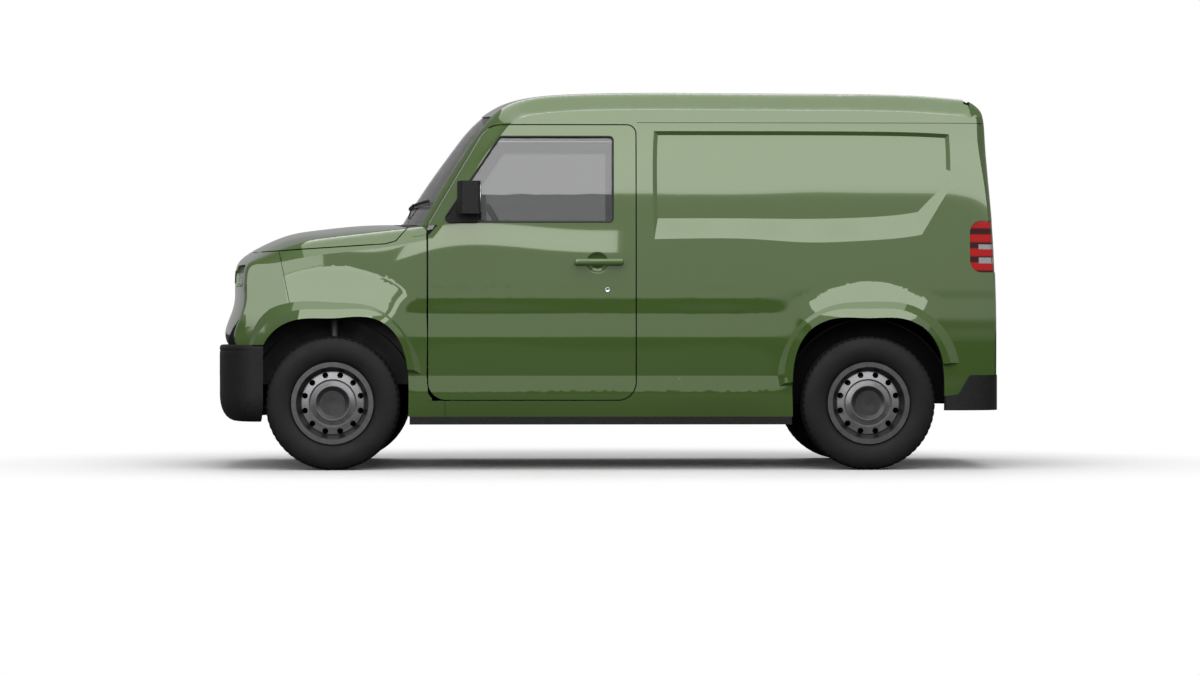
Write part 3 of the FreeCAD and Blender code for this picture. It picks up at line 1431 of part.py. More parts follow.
add_box("battery_pack", "Sizes.battery_length", "Sizes.battery_width", "Sizes.battery_height",
        "-Sizes.battery_length / 2 - Sizes.overrun / 2", "-Sizes.battery_width / 2",
        "Sizes.floor_height - Sizes.floor_plate - Sizes.fit_gap - Sizes.battery_height")
add_box("power_unit", "Sizes.power_unit_length", "Sizes.power_unit_width", "Sizes.power_unit_height",
        "Sizes.front_overhang - Sizes.overall_length / 2 - Sizes.power_unit_length / 2",
        "-Sizes.power_unit_width / 2",
        "Sizes.rail_bottom + Sizes.cross_rail_height + Sizes.fit_gap")
for side_name, sign in (("left", -1), ("right", 1)):
    add_box("seat_base_" + side_name, "Sizes.seat_base_length", "Sizes.seat_base_width",
            "Sizes.seat_cushion_bottom - Sizes.floor_height - 2 * Sizes.fit_gap",
            "-Sizes.seat_front_x + Sizes.seat_base_set_back", "%d * Sizes.seat_y - Sizes.seat_base_width / 2" % sign,
            "Sizes.floor_height + Sizes.fit_gap")


def origin_plane(body, role):
    return [item for item in body.Origin.OriginFeatures if item.Role == role][0]


def add_profile(body, name, corners):
    """A closed sketch of straight runs whose corners are written from the sheet, as (across, radius) words."""
    sketch = body.newObject("Sketcher::SketchObject", name)
    sketch.AttachmentSupport = [(origin_plane(body, "YZ_Plane"), "")]
    sketch.MapMode = "FlatFace"
    count = len(corners)
    doc.recompute()
    places = [(value_of(across), value_of(radius)) for across, radius in corners]
    for index in range(count):
        start = places[index]
        finish = places[(index + 1) % count]
        sketch.addGeometry(Part.LineSegment(Vector(start[0], start[1], 0), Vector(finish[0], finish[1], 0)), False)
    for index in range(count):
        sketch.addConstraint(Sketcher.Constraint("Coincident", index, 2, (index + 1) % count, 1))
    for index, (across, radius) in enumerate(corners):
        for kind, words, value in (("DistanceX", across, places[index][0]), ("DistanceY", radius, places[index][1])):
            if abs(value) < 1e-9:
                other = "DistanceX" if kind == "DistanceX" else "DistanceY"
                axis = -2 if kind == "DistanceX" else -1
                sketch.addConstraint(Sketcher.Constraint("PointOnObject", index, 1, axis))
                continue
            number = sketch.addConstraint(Sketcher.Constraint(kind, -1, 1, index, 1, value))
            sketch.setExpression("Constraints[%d]" % number, words)
    return sketch


def value_of(words):
    """Number that a sheet expression gives now."""
    names = dict(vars(van))
    result = words
    for name in sorted(names, key=len, reverse=True):
        result = result.replace("Sizes." + name, repr(names[name]))
    return float(FreeCAD.Units.Quantity(result).Value)


def add_turned_body(label, corners):
    """A body turned about its own Y axis from a profile of (across, radius) words."""
    body = doc.addObject("PartDesign::Body", label)
    body.Label = label
    profile = add_profile(body, label + "_profile", corners)
    turned = body.newObject("PartDesign::Revolution", label + "_turned")
    turned.Profile = (profile, [""])
    turned.ReferenceAxis = (profile, ["H_Axis"])
    turned.Angle = 360
    body.Tip = turned
    pieces.append(body)
    return body


def place_wheel_part(body, axle_words, side):
    """Set a wheel part at its axle, turned round for the right side."""
    body.setExpression(".Placement.Base.x", axle_words)
    body.setExpression(".Placement.Base.y", "%d * (Sizes.tyre_face - Sizes.tyre_width / 2)" % side)
    body.setExpression(".Placement.Base.z", "Sizes.tyre_radius")
    if side > 0:
        body.Placement.Rotation = FreeCAD.Rotation(Vector(0, 0, 1), 180)


BEAD = "Sizes.rim_width / 2"
TYRE_CORNERS = (
    ("-" + BEAD + " + Sizes.fit_gap", "Sizes.tyre_bead_radius"),
    ("-" + BEAD + " + Sizes.fit_gap", "Sizes.rim_flange_radius + Sizes.fit_gap"),
    ("-Sizes.tyre_width / 2", "Sizes.tyre_bead_radius + Sizes.tyre_bulge"),
    ("-Sizes.tyre_width / 2", "Sizes.tyre_radius - Sizes.tyre_shoulder"),
    ("-Sizes.tyre_width / 2 + Sizes.tyre_shoulder", "Sizes.tyre_radius"),
    ("Sizes.tyre_width / 2 - Sizes.tyre_shoulder", "Sizes.tyre_radius"),
    ("Sizes.tyre_width / 2", "Sizes.tyre_radius - Sizes.tyre_shoulder"),
    ("Sizes.tyre_width / 2", "Sizes.tyre_bead_radius + Sizes.tyre_bulge"),
    (BEAD + " - Sizes.fit_gap", "Sizes.rim_flange_radius + Sizes.fit_gap"),
    (BEAD + " - Sizes.fit_gap", "Sizes.tyre_bead_radius"),
)
FACE = "-Sizes.rim_width / 2 + Sizes.rim_set_back"
RIM_CORNERS = (
    ("-" + BEAD + " - Sizes.rim_flange_thickness", "Sizes.rim_flange_radius"),
    ("-" + BEAD, "Sizes.rim_flange_radius"),
    ("-" + BEAD, "Sizes.rim_seat_radius + Sizes.fit_gap"),
    (BEAD, "Sizes.rim_seat_radius + Sizes.fit_gap"),
    (BEAD, "Sizes.rim_flange_radius"),
    (BEAD + " + Sizes.rim_flange_thickness", "Sizes.rim_flange_radius"),
    (BEAD + " + Sizes.rim_flange_thickness", "Sizes.rim_seat_radius - Sizes.rim_plate"),
    (FACE + " + Sizes.rim_plate", "Sizes.rim_disc_radius + Sizes.rim_wall"),
    (FACE + " + Sizes.rim_plate", "Sizes.hub_boss_radius"),
    ("Sizes.hub_boss_inner", "Sizes.hub_boss_radius"),
    ("Sizes.hub_boss_inner", "Sizes.spindle_radius + Sizes.running_gap"),
    ("-Sizes.spindle_reach - Sizes.fit_gap", "Sizes.spindle_radius + Sizes.running_gap"),
    ("-Sizes.spindle_reach - Sizes.fit_gap", "0"),
    (FACE + " - Sizes.rim_cap_height", "0"),
    (FACE + " - Sizes.rim_cap_height + Sizes.rim_plate / 3", "Sizes.rim_cap_flat"),
    (FACE + " - Sizes.rim_plate", "Sizes.rim_cap_radius"),
    (FACE + " + Sizes.rim_plate / 4", "Sizes.rim_groove_radius"),
    (FACE + " - Sizes.rim_plate", "Sizes.rim_groove_radius + Sizes.rim_plate"),
    (FACE, "Sizes.rim_disc_radius"),
    ("-" + BEAD + " - Sizes.rim_flange_thickness", "Sizes.rim_seat_radius - Sizes.rim_plate"),
)
FRONT_AXLE = "Sizes.front_overhang - Sizes.overall_length / 2"
REAR_AXLE = FRONT_AXLE + " + Sizes.wheelbase"


def add_rim_holes(body):
    """Twelve round holes through the disc, set half a step from the top."""
    sketch = body.newObject("Sketcher::SketchObject", body.Label + "_hole")
    sketch.AttachmentSupport = [(origin_plane(body, "XZ_Plane"), "")]
    sketch.MapMode = "FlatFace"
    step = math.pi / van.rim_hole_count
    start = Vector(van.rim_hole_circle * math.sin(step), van.rim_hole_circle * math.cos(step), 0)
    sketch.addGeometry(Part.Circle(start, Vector(0, 0, 1), van.rim_hole_radius), False)
    radius = sketch.addConstraint(Sketcher.Constraint("Radius", 0, van.rim_hole_radius))
    sketch.setExpression("Constraints[%d]" % radius, "Sizes.rim_hole_radius")
    across = sketch.addConstraint(Sketcher.Constraint("DistanceX", -1, 1, 0, 3, start.x))
    sketch.setExpression("Constraints[%d]" % across, "Sizes.rim_hole_circle * sin(180 deg / Sizes.rim_hole_count)")
    up = sketch.addConstraint(Sketcher.Constraint("DistanceY", -1, 1, 0, 3, start.y))
    sketch.setExpression("Constraints[%d]" % up, "Sizes.rim_hole_circle * cos(180 deg / Sizes.rim_hole_count)")
    hole = body.newObject("PartDesign::Pocket", body.Label + "_pocket")
    hole.Profile = (sketch, [""])
    hole.Type = 1
    hole.Midplane = True
    doc.recompute()
    pattern = body.newObject("PartDesign::PolarPattern", body.Label + "_pattern")
    pattern.Originals = [hole]
    pattern.Axis = (origin_plane(body, "Y_Axis"), [""])
    pattern.Angle = 360
    pattern.Occurrences = int(van.rim_hole_count)
    pattern.setExpression("Occurrences", "Sizes.rim_hole_count")
    body.Tip = pattern


for axle_name, axle_words in (("front", FRONT_AXLE), ("rear", REAR_AXLE)):
    for side_name, sign in (("left", -1), ("right", 1)):
        tyre = add_turned_body("tyre_%s_%s" % (axle_name, side_name), TYRE_CORNERS)
        place_wheel_part(tyre, axle_words, sign)
        rim = add_turned_body("rim_%s_%s" % (axle_name, side_name), RIM_CORNERS)
        add_rim_holes(rim)
        place_wheel_part(rim, axle_words, sign)

doc.recompute()

for item in doc.Objects:
    if "Invalid" in item.State or "Error" in item.State:
        raise RuntimeError("%s did not build: %s" % (item.Label, item.State))
for piece in pieces:
    if piece.Shape.isNull() or not piece.Shape.isValid():
        raise RuntimeError("%s has no sound shape" % piece.Label)

os.makedirs("parts", exist_ok=True)
for piece in pieces:
    piece.Shape.exportStep("parts/%s.step" % piece.Label)
    print(piece.Label, len(piece.Shape.Solids), round(piece.Shape.Volume))
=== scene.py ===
import math

import bmesh
import bpy
import numpy as np
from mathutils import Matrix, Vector
from mathutils.bvhtree import BVHTree


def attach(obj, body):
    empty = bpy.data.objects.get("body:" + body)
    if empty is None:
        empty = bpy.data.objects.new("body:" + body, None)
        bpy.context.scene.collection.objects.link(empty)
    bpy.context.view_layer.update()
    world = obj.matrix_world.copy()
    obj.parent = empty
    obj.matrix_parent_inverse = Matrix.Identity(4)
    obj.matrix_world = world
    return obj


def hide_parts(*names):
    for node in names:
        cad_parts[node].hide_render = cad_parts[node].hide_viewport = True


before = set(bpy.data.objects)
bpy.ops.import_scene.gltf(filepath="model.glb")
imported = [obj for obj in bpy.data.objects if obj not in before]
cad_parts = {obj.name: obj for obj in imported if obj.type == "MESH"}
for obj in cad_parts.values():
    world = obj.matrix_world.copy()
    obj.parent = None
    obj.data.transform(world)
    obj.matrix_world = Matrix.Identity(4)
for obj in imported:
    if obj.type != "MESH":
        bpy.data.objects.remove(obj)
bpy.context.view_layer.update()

# Studio: a camera square to the van's left side, as far back and as low as in the photograph.
# The floor is one pale sheet, and soft lamps hang over the van and stand along its left side.

scene = bpy.context.scene
scene.view_settings.view_transform = "Standard"
scene.view_settings.look = "None"
camera_data = bpy.data.cameras.new("camera")
camera_data.sensor_width = 36.0
camera_data.lens = 95.5
camera_data.clip_end = 400.0
camera = bpy.data.objects.new("camera", camera_data)
camera.location = (-0.367, -16.92, 0.701)
camera.rotation_euler = (math.radians(89.901), 0.0, math.radians(-1.151))
scene.collection.objects.link(camera)
scene.camera = camera


def mesh_piece(name, co, faces):
    """Mesh from an array of points and an array of triangles or quads, with smooth shading."""
    faces = np.asarray(faces, np.int32)
    mesh = bpy.data.meshes.new(name)
    mesh.vertices.add(len(co))
    mesh.vertices.foreach_set("co", np.asarray(co, np.float32).ravel())
    mesh.loops.add(faces.size)
    mesh.loops.foreach_set("vertex_index", faces.ravel())
    mesh.polygons.add(len(faces))
    mesh.polygons.foreach_set("loop_start", np.arange(0, faces.size, faces.shape[1], dtype=np.int32))
    mesh.update(calc_edges=True)
    mesh.shade_smooth()
    piece = bpy.data.objects.new(name, mesh)
    scene.collection.objects.link(piece)
    return piece


def set_inputs(node, values):
    """Sets a shader node's inputs by name, where _ stands for a space."""
    for socket, value in values.items():
        node.inputs[socket.replace("_", " ")].default_value = value


def add_node(tree, kind, settings=None, **values):
    """Adds a shader node with its settings and the values of its inputs."""
    node = tree.nodes.new("ShaderNode" + kind)
    for name, value in (settings or {}).items():
        setattr(node, name, value)
    set_inputs(node, values)
    return node


def wire(tree, *joins):
    """Links shader nodes: each join is a node, its output, the next node and that one's input."""
    for source, output, target, socket in joins:
        tree.links.new(source.outputs[output], target.inputs[socket])


def colour(value):
    """Opaque colour from three values, or grey from one."""
    return (*np.broadcast_to(value, 3), 1.0)


def set_ramp(node, *stops):
    """Gives a colour ramp its stops, each a position and a colour or grey."""
    for index, (position, value) in enumerate(stops):
        elements = node.color_ramp.elements
        stop = elements[index] if index < 2 else elements.new(position)
        stop.position = position
        stop.color = colour(value)


def tone_group():
    """Shader group used by every plain material: a noise between two colours and two roughnesses, and a fine
    grain as a bump. It gives out a colour, a roughness and a normal."""
    group = bpy.data.node_groups.new("tone", "ShaderNodeTree")
    for name, kind, value in (
            ("Scale", "Float", 30.0), ("Low", "Color", (0, 0, 0, 1)), ("High", "Color", (0, 0, 0, 1)),
            ("Low Roughness", "Float", 0.4), ("High Roughness", "Float", 0.5),
            ("Grain", "Float", 600.0), ("Strength", "Float", 0.1), ("Depth", "Float", 0.0005)):
        socket = group.interface.new_socket(name=name, in_out="INPUT", socket_type="NodeSocket" + kind)
        socket.default_value = value
    for name, kind in (("Color", "Color"), ("Roughness", "Float"), ("Normal", "Vector")):
        group.interface.new_socket(name=name, in_out="OUTPUT", socket_type="NodeSocket" + kind)
    source = group.nodes.new("NodeGroupInput")
    result = group.nodes.new("NodeGroupOutput")
    place = add_node(group, "TexCoord")
    cloud = add_node(group, "TexNoise", Detail=3.0)
    grain = add_node(group, "TexNoise")
    ends = add_node(group, "MapRange", From_Min=0.3, From_Max=0.7)
    rough = add_node(group, "Mix")
    mixer = add_node(group, "Mix", {"data_type": "RGBA"})
    bump = add_node(group, "Bump")
    wire(group, (place, "Object", cloud, "Vector"), (place, "Object", grain, "Vector"),
         (source, "Scale", cloud, "Scale"), (source, "Grain", grain, "Scale"), (cloud, "Fac", ends, "Value"),
         (ends, "Result", mixer, "Factor"), (source, "Low", mixer, "A"), (source, "High", mixer, "B"),
         (ends, "Result", rough, "Factor"), (source, "Low Roughness", rough, "A"),
         (source, "High Roughness", rough, "B"), (grain, "Fac", bump, "Height"),
         (source, "Strength", bump, "Strength"), (source, "Depth", bump, "Distance"),
         (mixer, "Result", result, "Color"), (rough, "Result", result, "Roughness"),
         (bump, "Normal", result, "Normal"))
    return group


TONE = tone_group()


def new_material(name, sockets):
    """New material, with its node tree and its Principled shader, whose inputs take the given values."""
    material = bpy.data.materials.new(name)
    material.use_nodes = True
    shader = material.node_tree.nodes["Principled BSDF"]
    set_inputs(shader, sockets)
    return material, material.node_tree, shader


def finish(name, low, high, rough, scale=30.0, grain=600.0, strength=0.1, depth=0.0005, **sockets):
    """Material with the tone group's colour, roughness and grain, and its own values for the shader."""
    material, tree, shader = new_material(name, sockets)
    tone = add_node(tree, "Group", {"node_tree": TONE}, Scale=scale, Low=colour(low), High=colour(high),
                    Low_Roughness=rough[0], High_Roughness=rough[1], Grain=grain, Strength=strength,
                    Depth=depth)
    wire(tree, (tone, "Color", shader, "Base Color"), (tone, "Roughness", shader, "Roughness"),
         (tone, "Normal", shader, "Normal"))
    return material


def lattice(co, close_rows=False, close_columns=False):
    """Points of a grid in one list, and the quads between them; rows or columns may close on themselves."""
    rows, columns = co.shape[:2]
    index = np.arange(rows * columns).reshape(rows, columns)
    if close_rows:
        index = np.vstack([index, index[:1]])
    if close_columns:
        index = np.hstack([index, index[:, :1]])
    quads = np.stack([index[:-1, :-1], index[:-1, 1:], index[1:, 1:], index[1:, :-1]], -1)
    return co.reshape(-1, 3), quads.reshape(-1, 4)


floor_x, floor_y = np.meshgrid(np.linspace(-60.0, 60.0, 9), np.linspace(-60.0, 60.0, 9))
floor = mesh_piece("studio_floor", *lattice(np.stack([floor_x, floor_y, np.zeros_like(floor_x)], -1)))
floor_material = finish("pale_floor", 0.80, 0.84, (0.6, 0.7), 0.5, Specular_IOR_Level=0.1)
floor_tree = floor_material.node_tree
floor_dull = add_node(floor_tree, "BsdfDiffuse", Color=colour(0.10))
floor_white = add_node(floor_tree, "Emission")
floor_path = add_node(floor_tree, "LightPath")
floor_place = add_node(floor_tree, "TexCoord")
floor_oval = add_node(floor_tree, "Mapping", Scale=(1 / 3.4, 1 / 2.4, 1.0))
floor_far = add_node(floor_tree, "VectorMath", {"operation": "LENGTH"})
floor_fade = add_node(floor_tree, "MapRange", {"interpolation_type": "SMOOTHSTEP"},
                      From_Min=0.62, From_Max=1.15)
floor_near = add_node(floor_tree, "MixShader")
floor_seen = add_node(floor_tree, "MixShader")
wire(floor_tree, (floor_place, "Object", floor_oval, "Vector"), (floor_oval, "Vector", floor_far, 0),
     (floor_far, "Value", floor_fade, "Value"), (floor_fade, "Result", floor_near, "Fac"),
     (floor_tree.nodes["Principled BSDF"], "BSDF", floor_near, 1), (floor_white, "Emission", floor_near, 2),
     (floor_path, "Is Camera Ray", floor_seen, "Fac"), (floor_dull, "BSDF", floor_seen, 1),
     (floor_near, "Shader", floor_seen, 2),
     (floor_seen, "Shader", floor_tree.nodes["Material Output"], "Surface"))
floor.data.materials.append(floor_material)

for name, place, aim, width, height, power in (
        ("roof_lamp", (0.2, 0.0, 6.5), (0.0, 0.0, 0.0), 16.0, 7.0, 560.0),
        ("side_lamp", (0.0, -8.0, 4.27), (0.0, 0.0, 2.4), 15.0, 3.2, 430.0),
        ("door_lamp", (-0.455, -8.0, 1.94), (-0.455, 0.0, 1.94), 1.39, 0.48, 6.0),
        ("wing_lamp", (-5.075, -8.0, 2.32), (-5.075, 0.0, 2.32), 7.85, 0.64, 46.0),
        ("nose_lamp", (-4.425, -8.0, 1.3), (-4.425, 0.0, 1.3), 4.15, 1.2, 33.0)):
    lamp_data = bpy.data.lights.new(name, "AREA")
    lamp_data.shape = "RECTANGLE"
    lamp_data.size = width
    lamp_data.size_y = height
    lamp_data.energy = power
    lamp = bpy.data.objects.new(name, lamp_data)
    lamp.location = place
    lamp.rotation_euler = (Vector(aim) - Vector(place)).to_track_quat("-Z", "Y").to_euler()
    lamp.visible_camera = False
    scene.collection.objects.link(lamp)

scene.world = bpy.data.worlds.new("studio")
scene.world.use_nodes = True
sky = scene.world.node_tree
sky.nodes.clear()
sky_out = add_node(sky, "OutputWorld")
sky_mix = add_node(sky, "MixShader")
sky_seen = add_node(sky, "Background", Color=colour(1.0), Strength=1.0)
sky_room = add_node(sky, "Background")
sky_place = add_node(sky, "TexCoord")
sky_split = add_node(sky, "SeparateXYZ")
sky_bands = add_node(sky, "ValToRGB")
sky_shift = add_node(sky, "MapRange", From_Min=-1.0, From_Max=1.0)
sky_facing = add_node(sky, "MapRange", From_Min=-0.6, From_Max=-0.1, To_Min=1.0, To_Max=0.42)
sky_path = add_node(sky, "LightPath")
set_ramp(sky_bands, (0.0, 0.05), (0.498, 0.05), (0.506, 0.86), (0.62, 0.86), (0.66, 0.7), (1.0, 0.7))
wire(sky, (sky_place, "Generated", sky_split, "Vector"), (sky_split, "Z", sky_shift, "Value"),
     (sky_shift, "Result", sky_bands, "Fac"), (sky_bands, "Color", sky_room, "Color"),
     (sky_split, "Y", sky_facing, "Value"), (sky_facing, "Result", sky_room, "Strength"),
     (sky_path, "Is Camera Ray", sky_mix, "Fac"), (sky_room, "Background", sky_mix, 1),
     (sky_seen, "Background", sky_mix, 2), (sky_mix, "Shader", sky_out, "Surface"))

# Body shell: pressed steel sides, roof, wings, nose, bonnet, doors and tailgate, welded or hung on the frame.
# Each sheet is the frame's own panel, cut finer, with its facets' shading evened out to reflect cleanly.
# All are sprayed in one green with a clear coat; behind each door handle a cup is pressed into the door.


def unit(vectors):
    """The same directions with a length of one."""
    return vectors / np.maximum(np.linalg.norm(vectors, axis=-1, keepdims=True), 1e-12)


def edges_of(tris):
    """Both ends of the three edges of every triangle, the lower number first."""
    return np.sort(tris[:, [0, 1, 1, 2, 2, 0]].reshape(-1, 2), axis=1)


def refine(co, normal, tris, limit, near=None):
    """Halves every edge longer than the limit, in passes; a new point takes its ends' mean place and normal.
    With near, a box from one corner to another, only edges whose middle lies in the box count."""
    for _ in range(9):
        unique, inverse = np.unique(edges_of(tris), axis=0, return_inverse=True)
        inverse = inverse.reshape(-1, 3)
        ends = co[unique]
        long = np.linalg.norm(ends[:, 0] - ends[:, 1], axis=1) > limit
        if near is not None:
            reach = np.abs(ends[:, 0] - ends[:, 1]) / 2
            long &= ((ends.mean(1) + reach > near[0]) & (ends.mean(1) - reach < near[1])).all(1)
        if not long.any():
            break
        index = np.full(len(unique), -1)
        index[long] = len(co) + np.arange(long.sum())
        middle = unit(normal[unique[long, 0]] + normal[unique[long, 1]])
        co = np.vstack([co, ends[long].mean(1)])
        normal = np.vstack([normal, middle])
        marks = index[inverse]
        count = (marks >= 0).sum(1)
        one, two, three = count == 1, count == 2, count == 3
        turn = np.where(one, np.argmax(marks >= 0, 1), np.where(two, np.argmax(marks < 0, 1) + 1, 0))
        order = (turn[:, None] + np.arange(3)) % 3
        corner = np.take_along_axis(tris, order, 1)
        marks = np.take_along_axis(marks, order, 1)
        a, b, c = corner.T
        p, q, r = marks.T
        parts = [tris[count == 0]]
        for mask, rows in ((one, ((a, p, c), (p, b, c))),
                           (two, ((p, b, q), (a, p, q), (a, q, c))),
                           (three, ((a, p, r), (b, q, p), (c, r, q), (p, q, r)))):
            parts += [np.stack([column[mask] for column in row], 1) for row in rows]
        tris = np.vstack(parts)
    return co, normal, tris


def even_out(co, normal, tris, passes):
    """Moves each point's normal towards the mean of its neighbours', pass after pass."""
    edges = np.unique(edges_of(tris), axis=0)
    count = np.bincount(edges.ravel(), minlength=len(co)).astype(float)[:, None]
    for _ in range(passes):
        total = np.zeros_like(normal)
        for axis in range(3):
            total[:, axis] = (np.bincount(edges[:, 0], normal[edges[:, 1], axis], len(co))
                              + np.bincount(edges[:, 1], normal[edges[:, 0], axis], len(co)))
        normal = unit(normal + total / np.maximum(count, 1.0))
    return normal


def read(data, attribute, kind=np.float32, width=3):
    """One attribute of every element of a mesh, as an array with a row for each."""
    values = np.empty(len(data) * width, kind)
    data.foreach_get(attribute, values)
    return values.reshape(-1, width)


def weld(co, tris, cell):
    """Joins points that lie in one cell of a fine grid. Gives which points stay, the triangles that still have
    three corners, and which of the old triangles those are."""
    _, first, inverse = np.unique(np.round(co / cell).astype(np.int64), axis=0,
                                  return_index=True, return_inverse=True)
    tris = inverse.reshape(-1)[tris]
    good = (tris[:, 0] != tris[:, 1]) & (tris[:, 1] != tris[:, 2]) & (tris[:, 2] != tris[:, 0])
    return first, tris[good], good


def node_triangles(node):
    """Points and triangles of a frame node, with points in one place joined."""
    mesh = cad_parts[node].data
    mesh.calc_loop_triangles()
    co = read(mesh.vertices, "co").astype(float)
    first, tris, _ = weld(co, read(mesh.loop_triangles, "vertices", np.int32), 4e-6)
    return co[first], tris


LENGTH, HEIGHT, HALF_WIDTH = 4.046, 1.955, 0.825
AXLES = {"front": -1.398, "rear": 1.322}
AXLE_Z = 0.34
# Heights as shares of HEIGHT, each with the half widths there, ribbed and plain, as shares of HALF_WIDTH.
SIDE_SHARES = np.array((
    (0.1023, 0.933, 0.933), (0.1392, 0.952, 0.945), (0.1832, 0.968, 0.953), (0.2405, 0.953, 0.957),
    (0.2451, 0.948, 0.958), (0.2866, 0.953, 0.959), (0.3301, 0.958, 0.960), (0.3685, 0.956, 0.960),
    (0.4002, 0.947, 0.960), (0.4350, 0.950, 0.959), (0.4672, 0.950, 0.959), (0.5118, 0.951, 0.958),
    (0.5630, 0.950, 0.954), (0.6689, 0.939, 0.939), (0.7677, 0.924, 0.924), (0.9018, 0.893, 0.893),
    (0.9600, 0.870, 0.870), (1.0747, 0.795, 0.795)))
SIDE_CREASE = 4
# Places as shares of LENGTH, each with the inset there as a share of HALF_WIDTH, and 1 where the ribs are.
STATION_SHARES = np.array((
    (-0.5240, 0.303, 0), (-0.4968, 0.158, 0), (-0.4745, 0.087, 0), (-0.4449, 0.044, 0), (-0.4078, 0.018, 0),
    (-0.3460, 0.002, 0), (-0.2768, 0.000, 0), (-0.2224, 0.000, 1), (-0.0741, 0.000, 1), (0.0741, 0.000, 1),
    (0.1780, 0.000, 1), (0.2373, 0.000, 0), (0.3213, 0.001, 0), (0.4078, 0.007, 0), (0.4572, 0.022, 0),
    (0.4844, 0.044, 0), (0.5190, 0.097, 0)))


def spline_weights(knots, places):
    """Weight of each knot in a smooth cubic curve through all of them, at many places.
    The second slopes solve the usual band of equations, and each end span is one cubic with the next."""
    count = len(knots)
    step = np.diff(knots)
    band = np.zeros((count, count))
    value = np.zeros((count, count))
    for row in range(1, count - 1):
        band[row, row - 1:row + 2] = step[row - 1], 2 * (step[row - 1] + step[row]), step[row]
        value[row, row - 1:row + 2] = 6 / step[row - 1], -6 / step[row - 1] - 6 / step[row], 6 / step[row]
    band[0, :3] = step[1], -step[0] - step[1], step[0]
    band[-1, -3:] = step[-1], -step[-2] - step[-1], step[-2]
    bend = np.linalg.solve(band, value)
    cell = np.clip(np.searchsorted(knots, places) - 1, 0, count - 2)
    low, wide = knots[cell], step[cell]
    up = ((places - low) / wide)[:, None]
    eye = np.eye(count)
    wide = wide[:, None]
    return (eye[cell] * (1 - up) + eye[cell + 1] * up
            - wide ** 2 / 6 * (up * (1 - up)) * ((2 - up) * bend[cell] + (1 + up) * bend[cell + 1]))


def side_width(x, z):
    """Half width of the bare body at a place along it and a height: a smooth curve up the cross-section,
    broken at the sill's crease, and a smooth curve through the stations along the body."""
    heights = SIDE_SHARES[:, 0] * HEIGHT
    up = np.zeros((len(z), len(heights)))
    low = z < heights[SIDE_CREASE]
    up[low, :SIDE_CREASE + 1] = spline_weights(heights[:SIDE_CREASE + 1], z[low])
    up[~low, SIDE_CREASE:] = spline_weights(heights[SIDE_CREASE:], z[~low])
    along = spline_weights(STATION_SHARES[:, 0] * LENGTH, x)
    ribbed, plain = up @ SIDE_SHARES[:, 1], up @ SIDE_SHARES[:, 2]
    ribs, inset = along @ STATION_SHARES[:, 2], along @ STATION_SHARES[:, 1]
    return (ribbed * ribs + plain * (along.sum(1) - ribs) - inset) * HALF_WIDTH


CUP_X, CUP_Z, CUP_LONG, CUP_HIGH, CUP_DEEP = -0.056, 1.052, 0.056, 0.054, 0.021


def cup_depth(x, z):
    """Depth of the pressed cup behind the door handle: D (1 - r^4)^1.5, r being 1 on the edge of an ellipse."""
    reach = np.minimum(((x - CUP_X) / CUP_LONG) ** 2 + ((z - CUP_Z) / CUP_HIGH) ** 2, 1.0)
    return CUP_DEEP * (1 - reach ** 2) ** 1.5


def off_crease(co, level):
    """The same points, moved a hair away from the sill's crease to the side of it on which the level lies."""
    crease = SIDE_SHARES[SIDE_CREASE, 0] * HEIGHT
    z = co[:, 2]
    eased = co.copy()
    eased[:, 2] = np.where(level < crease, np.minimum(z, crease - 0.001), np.maximum(z, crease + 0.001))
    return eased


# Least and most outward lean that the calm shading allows, each as heights and the slopes at them.
FREE = 9.0
LEAST_LEAN = ((0.0, 0.905, 0.93, 1.04, 1.08), (-FREE, -FREE, 0.004, 0.004, -FREE))
MOST_LEAN = ((0.0, 0.52, 0.60, 0.90, 1.05), (0.022, 0.022, 0.045, 0.045, FREE))
FLARE_REACH = {"front": 0.70, "rear": 0.64}
FLARE_TURN = 0.135


def side_normal(co, cup=False, calm=False):
    """Outward direction of the bare side under or over each point, from the width's slopes. With calm the ribs'
    slopes are held to a few degrees, and the skin turns a little outwards round each wheel arch."""
    x, z = co[:, 0], co[:, 2]
    reach = 0.0005

    def width(at_x, at_z):
        return side_width(at_x, at_z) - (cup_depth(at_x, at_z) if cup else 0.0)

    along = (width(x + reach, z) - width(x - reach, z)) / (2 * reach)
    up = (width(x, z + reach) - width(x, z - reach)) / (2 * reach)
    if calm:
        pressed = (cup_depth(x, z) > 0) & cup
        least = np.where(pressed, -FREE, np.interp(z, *LEAST_LEAN))
        most = np.where(pressed, FREE, np.interp(z, *MOST_LEAN))
        up = -np.clip(-up, least, most)
        for axle, axle_x in AXLES.items():
            away = np.hypot(x - axle_x, z - AXLE_Z)
            zone = np.clip((FLARE_REACH[axle] - away) / 0.03, 0, 1) * FLARE_TURN
            zone = zone * np.clip(((z - AXLE_Z) / away - 0.78) / 0.09, 0, 1)
            along = along - 0.4 * zone * (x - axle_x) / away
            up = up - zone * (z - AXLE_Z) / away
    return unit(np.stack([-along, np.sign(co[:, 1]), -up], 1))


def side_faces(co, tris):
    """Middles of the triangles, which of them lie on the bare side, and 1 or -1 for facing out or in."""
    flat = unit(np.cross(co[tris[:, 1]] - co[tris[:, 0]], co[tris[:, 2]] - co[tris[:, 0]]))
    middle = co[tris].mean(1)
    depth = side_width(middle[:, 0], middle[:, 2]) - np.abs(middle[:, 1])
    facing = (flat * side_normal(middle)).sum(1)
    on = (np.abs(facing) > math.cos(math.radians(4.0))) & (depth > -0.03) & (depth < 0.1)
    return middle, on, np.sign(facing)


def fitted(piece, body, material):
    """Puts a piece on its body, with its material."""
    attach(piece, body)
    piece.data.materials.append(material)
    return piece


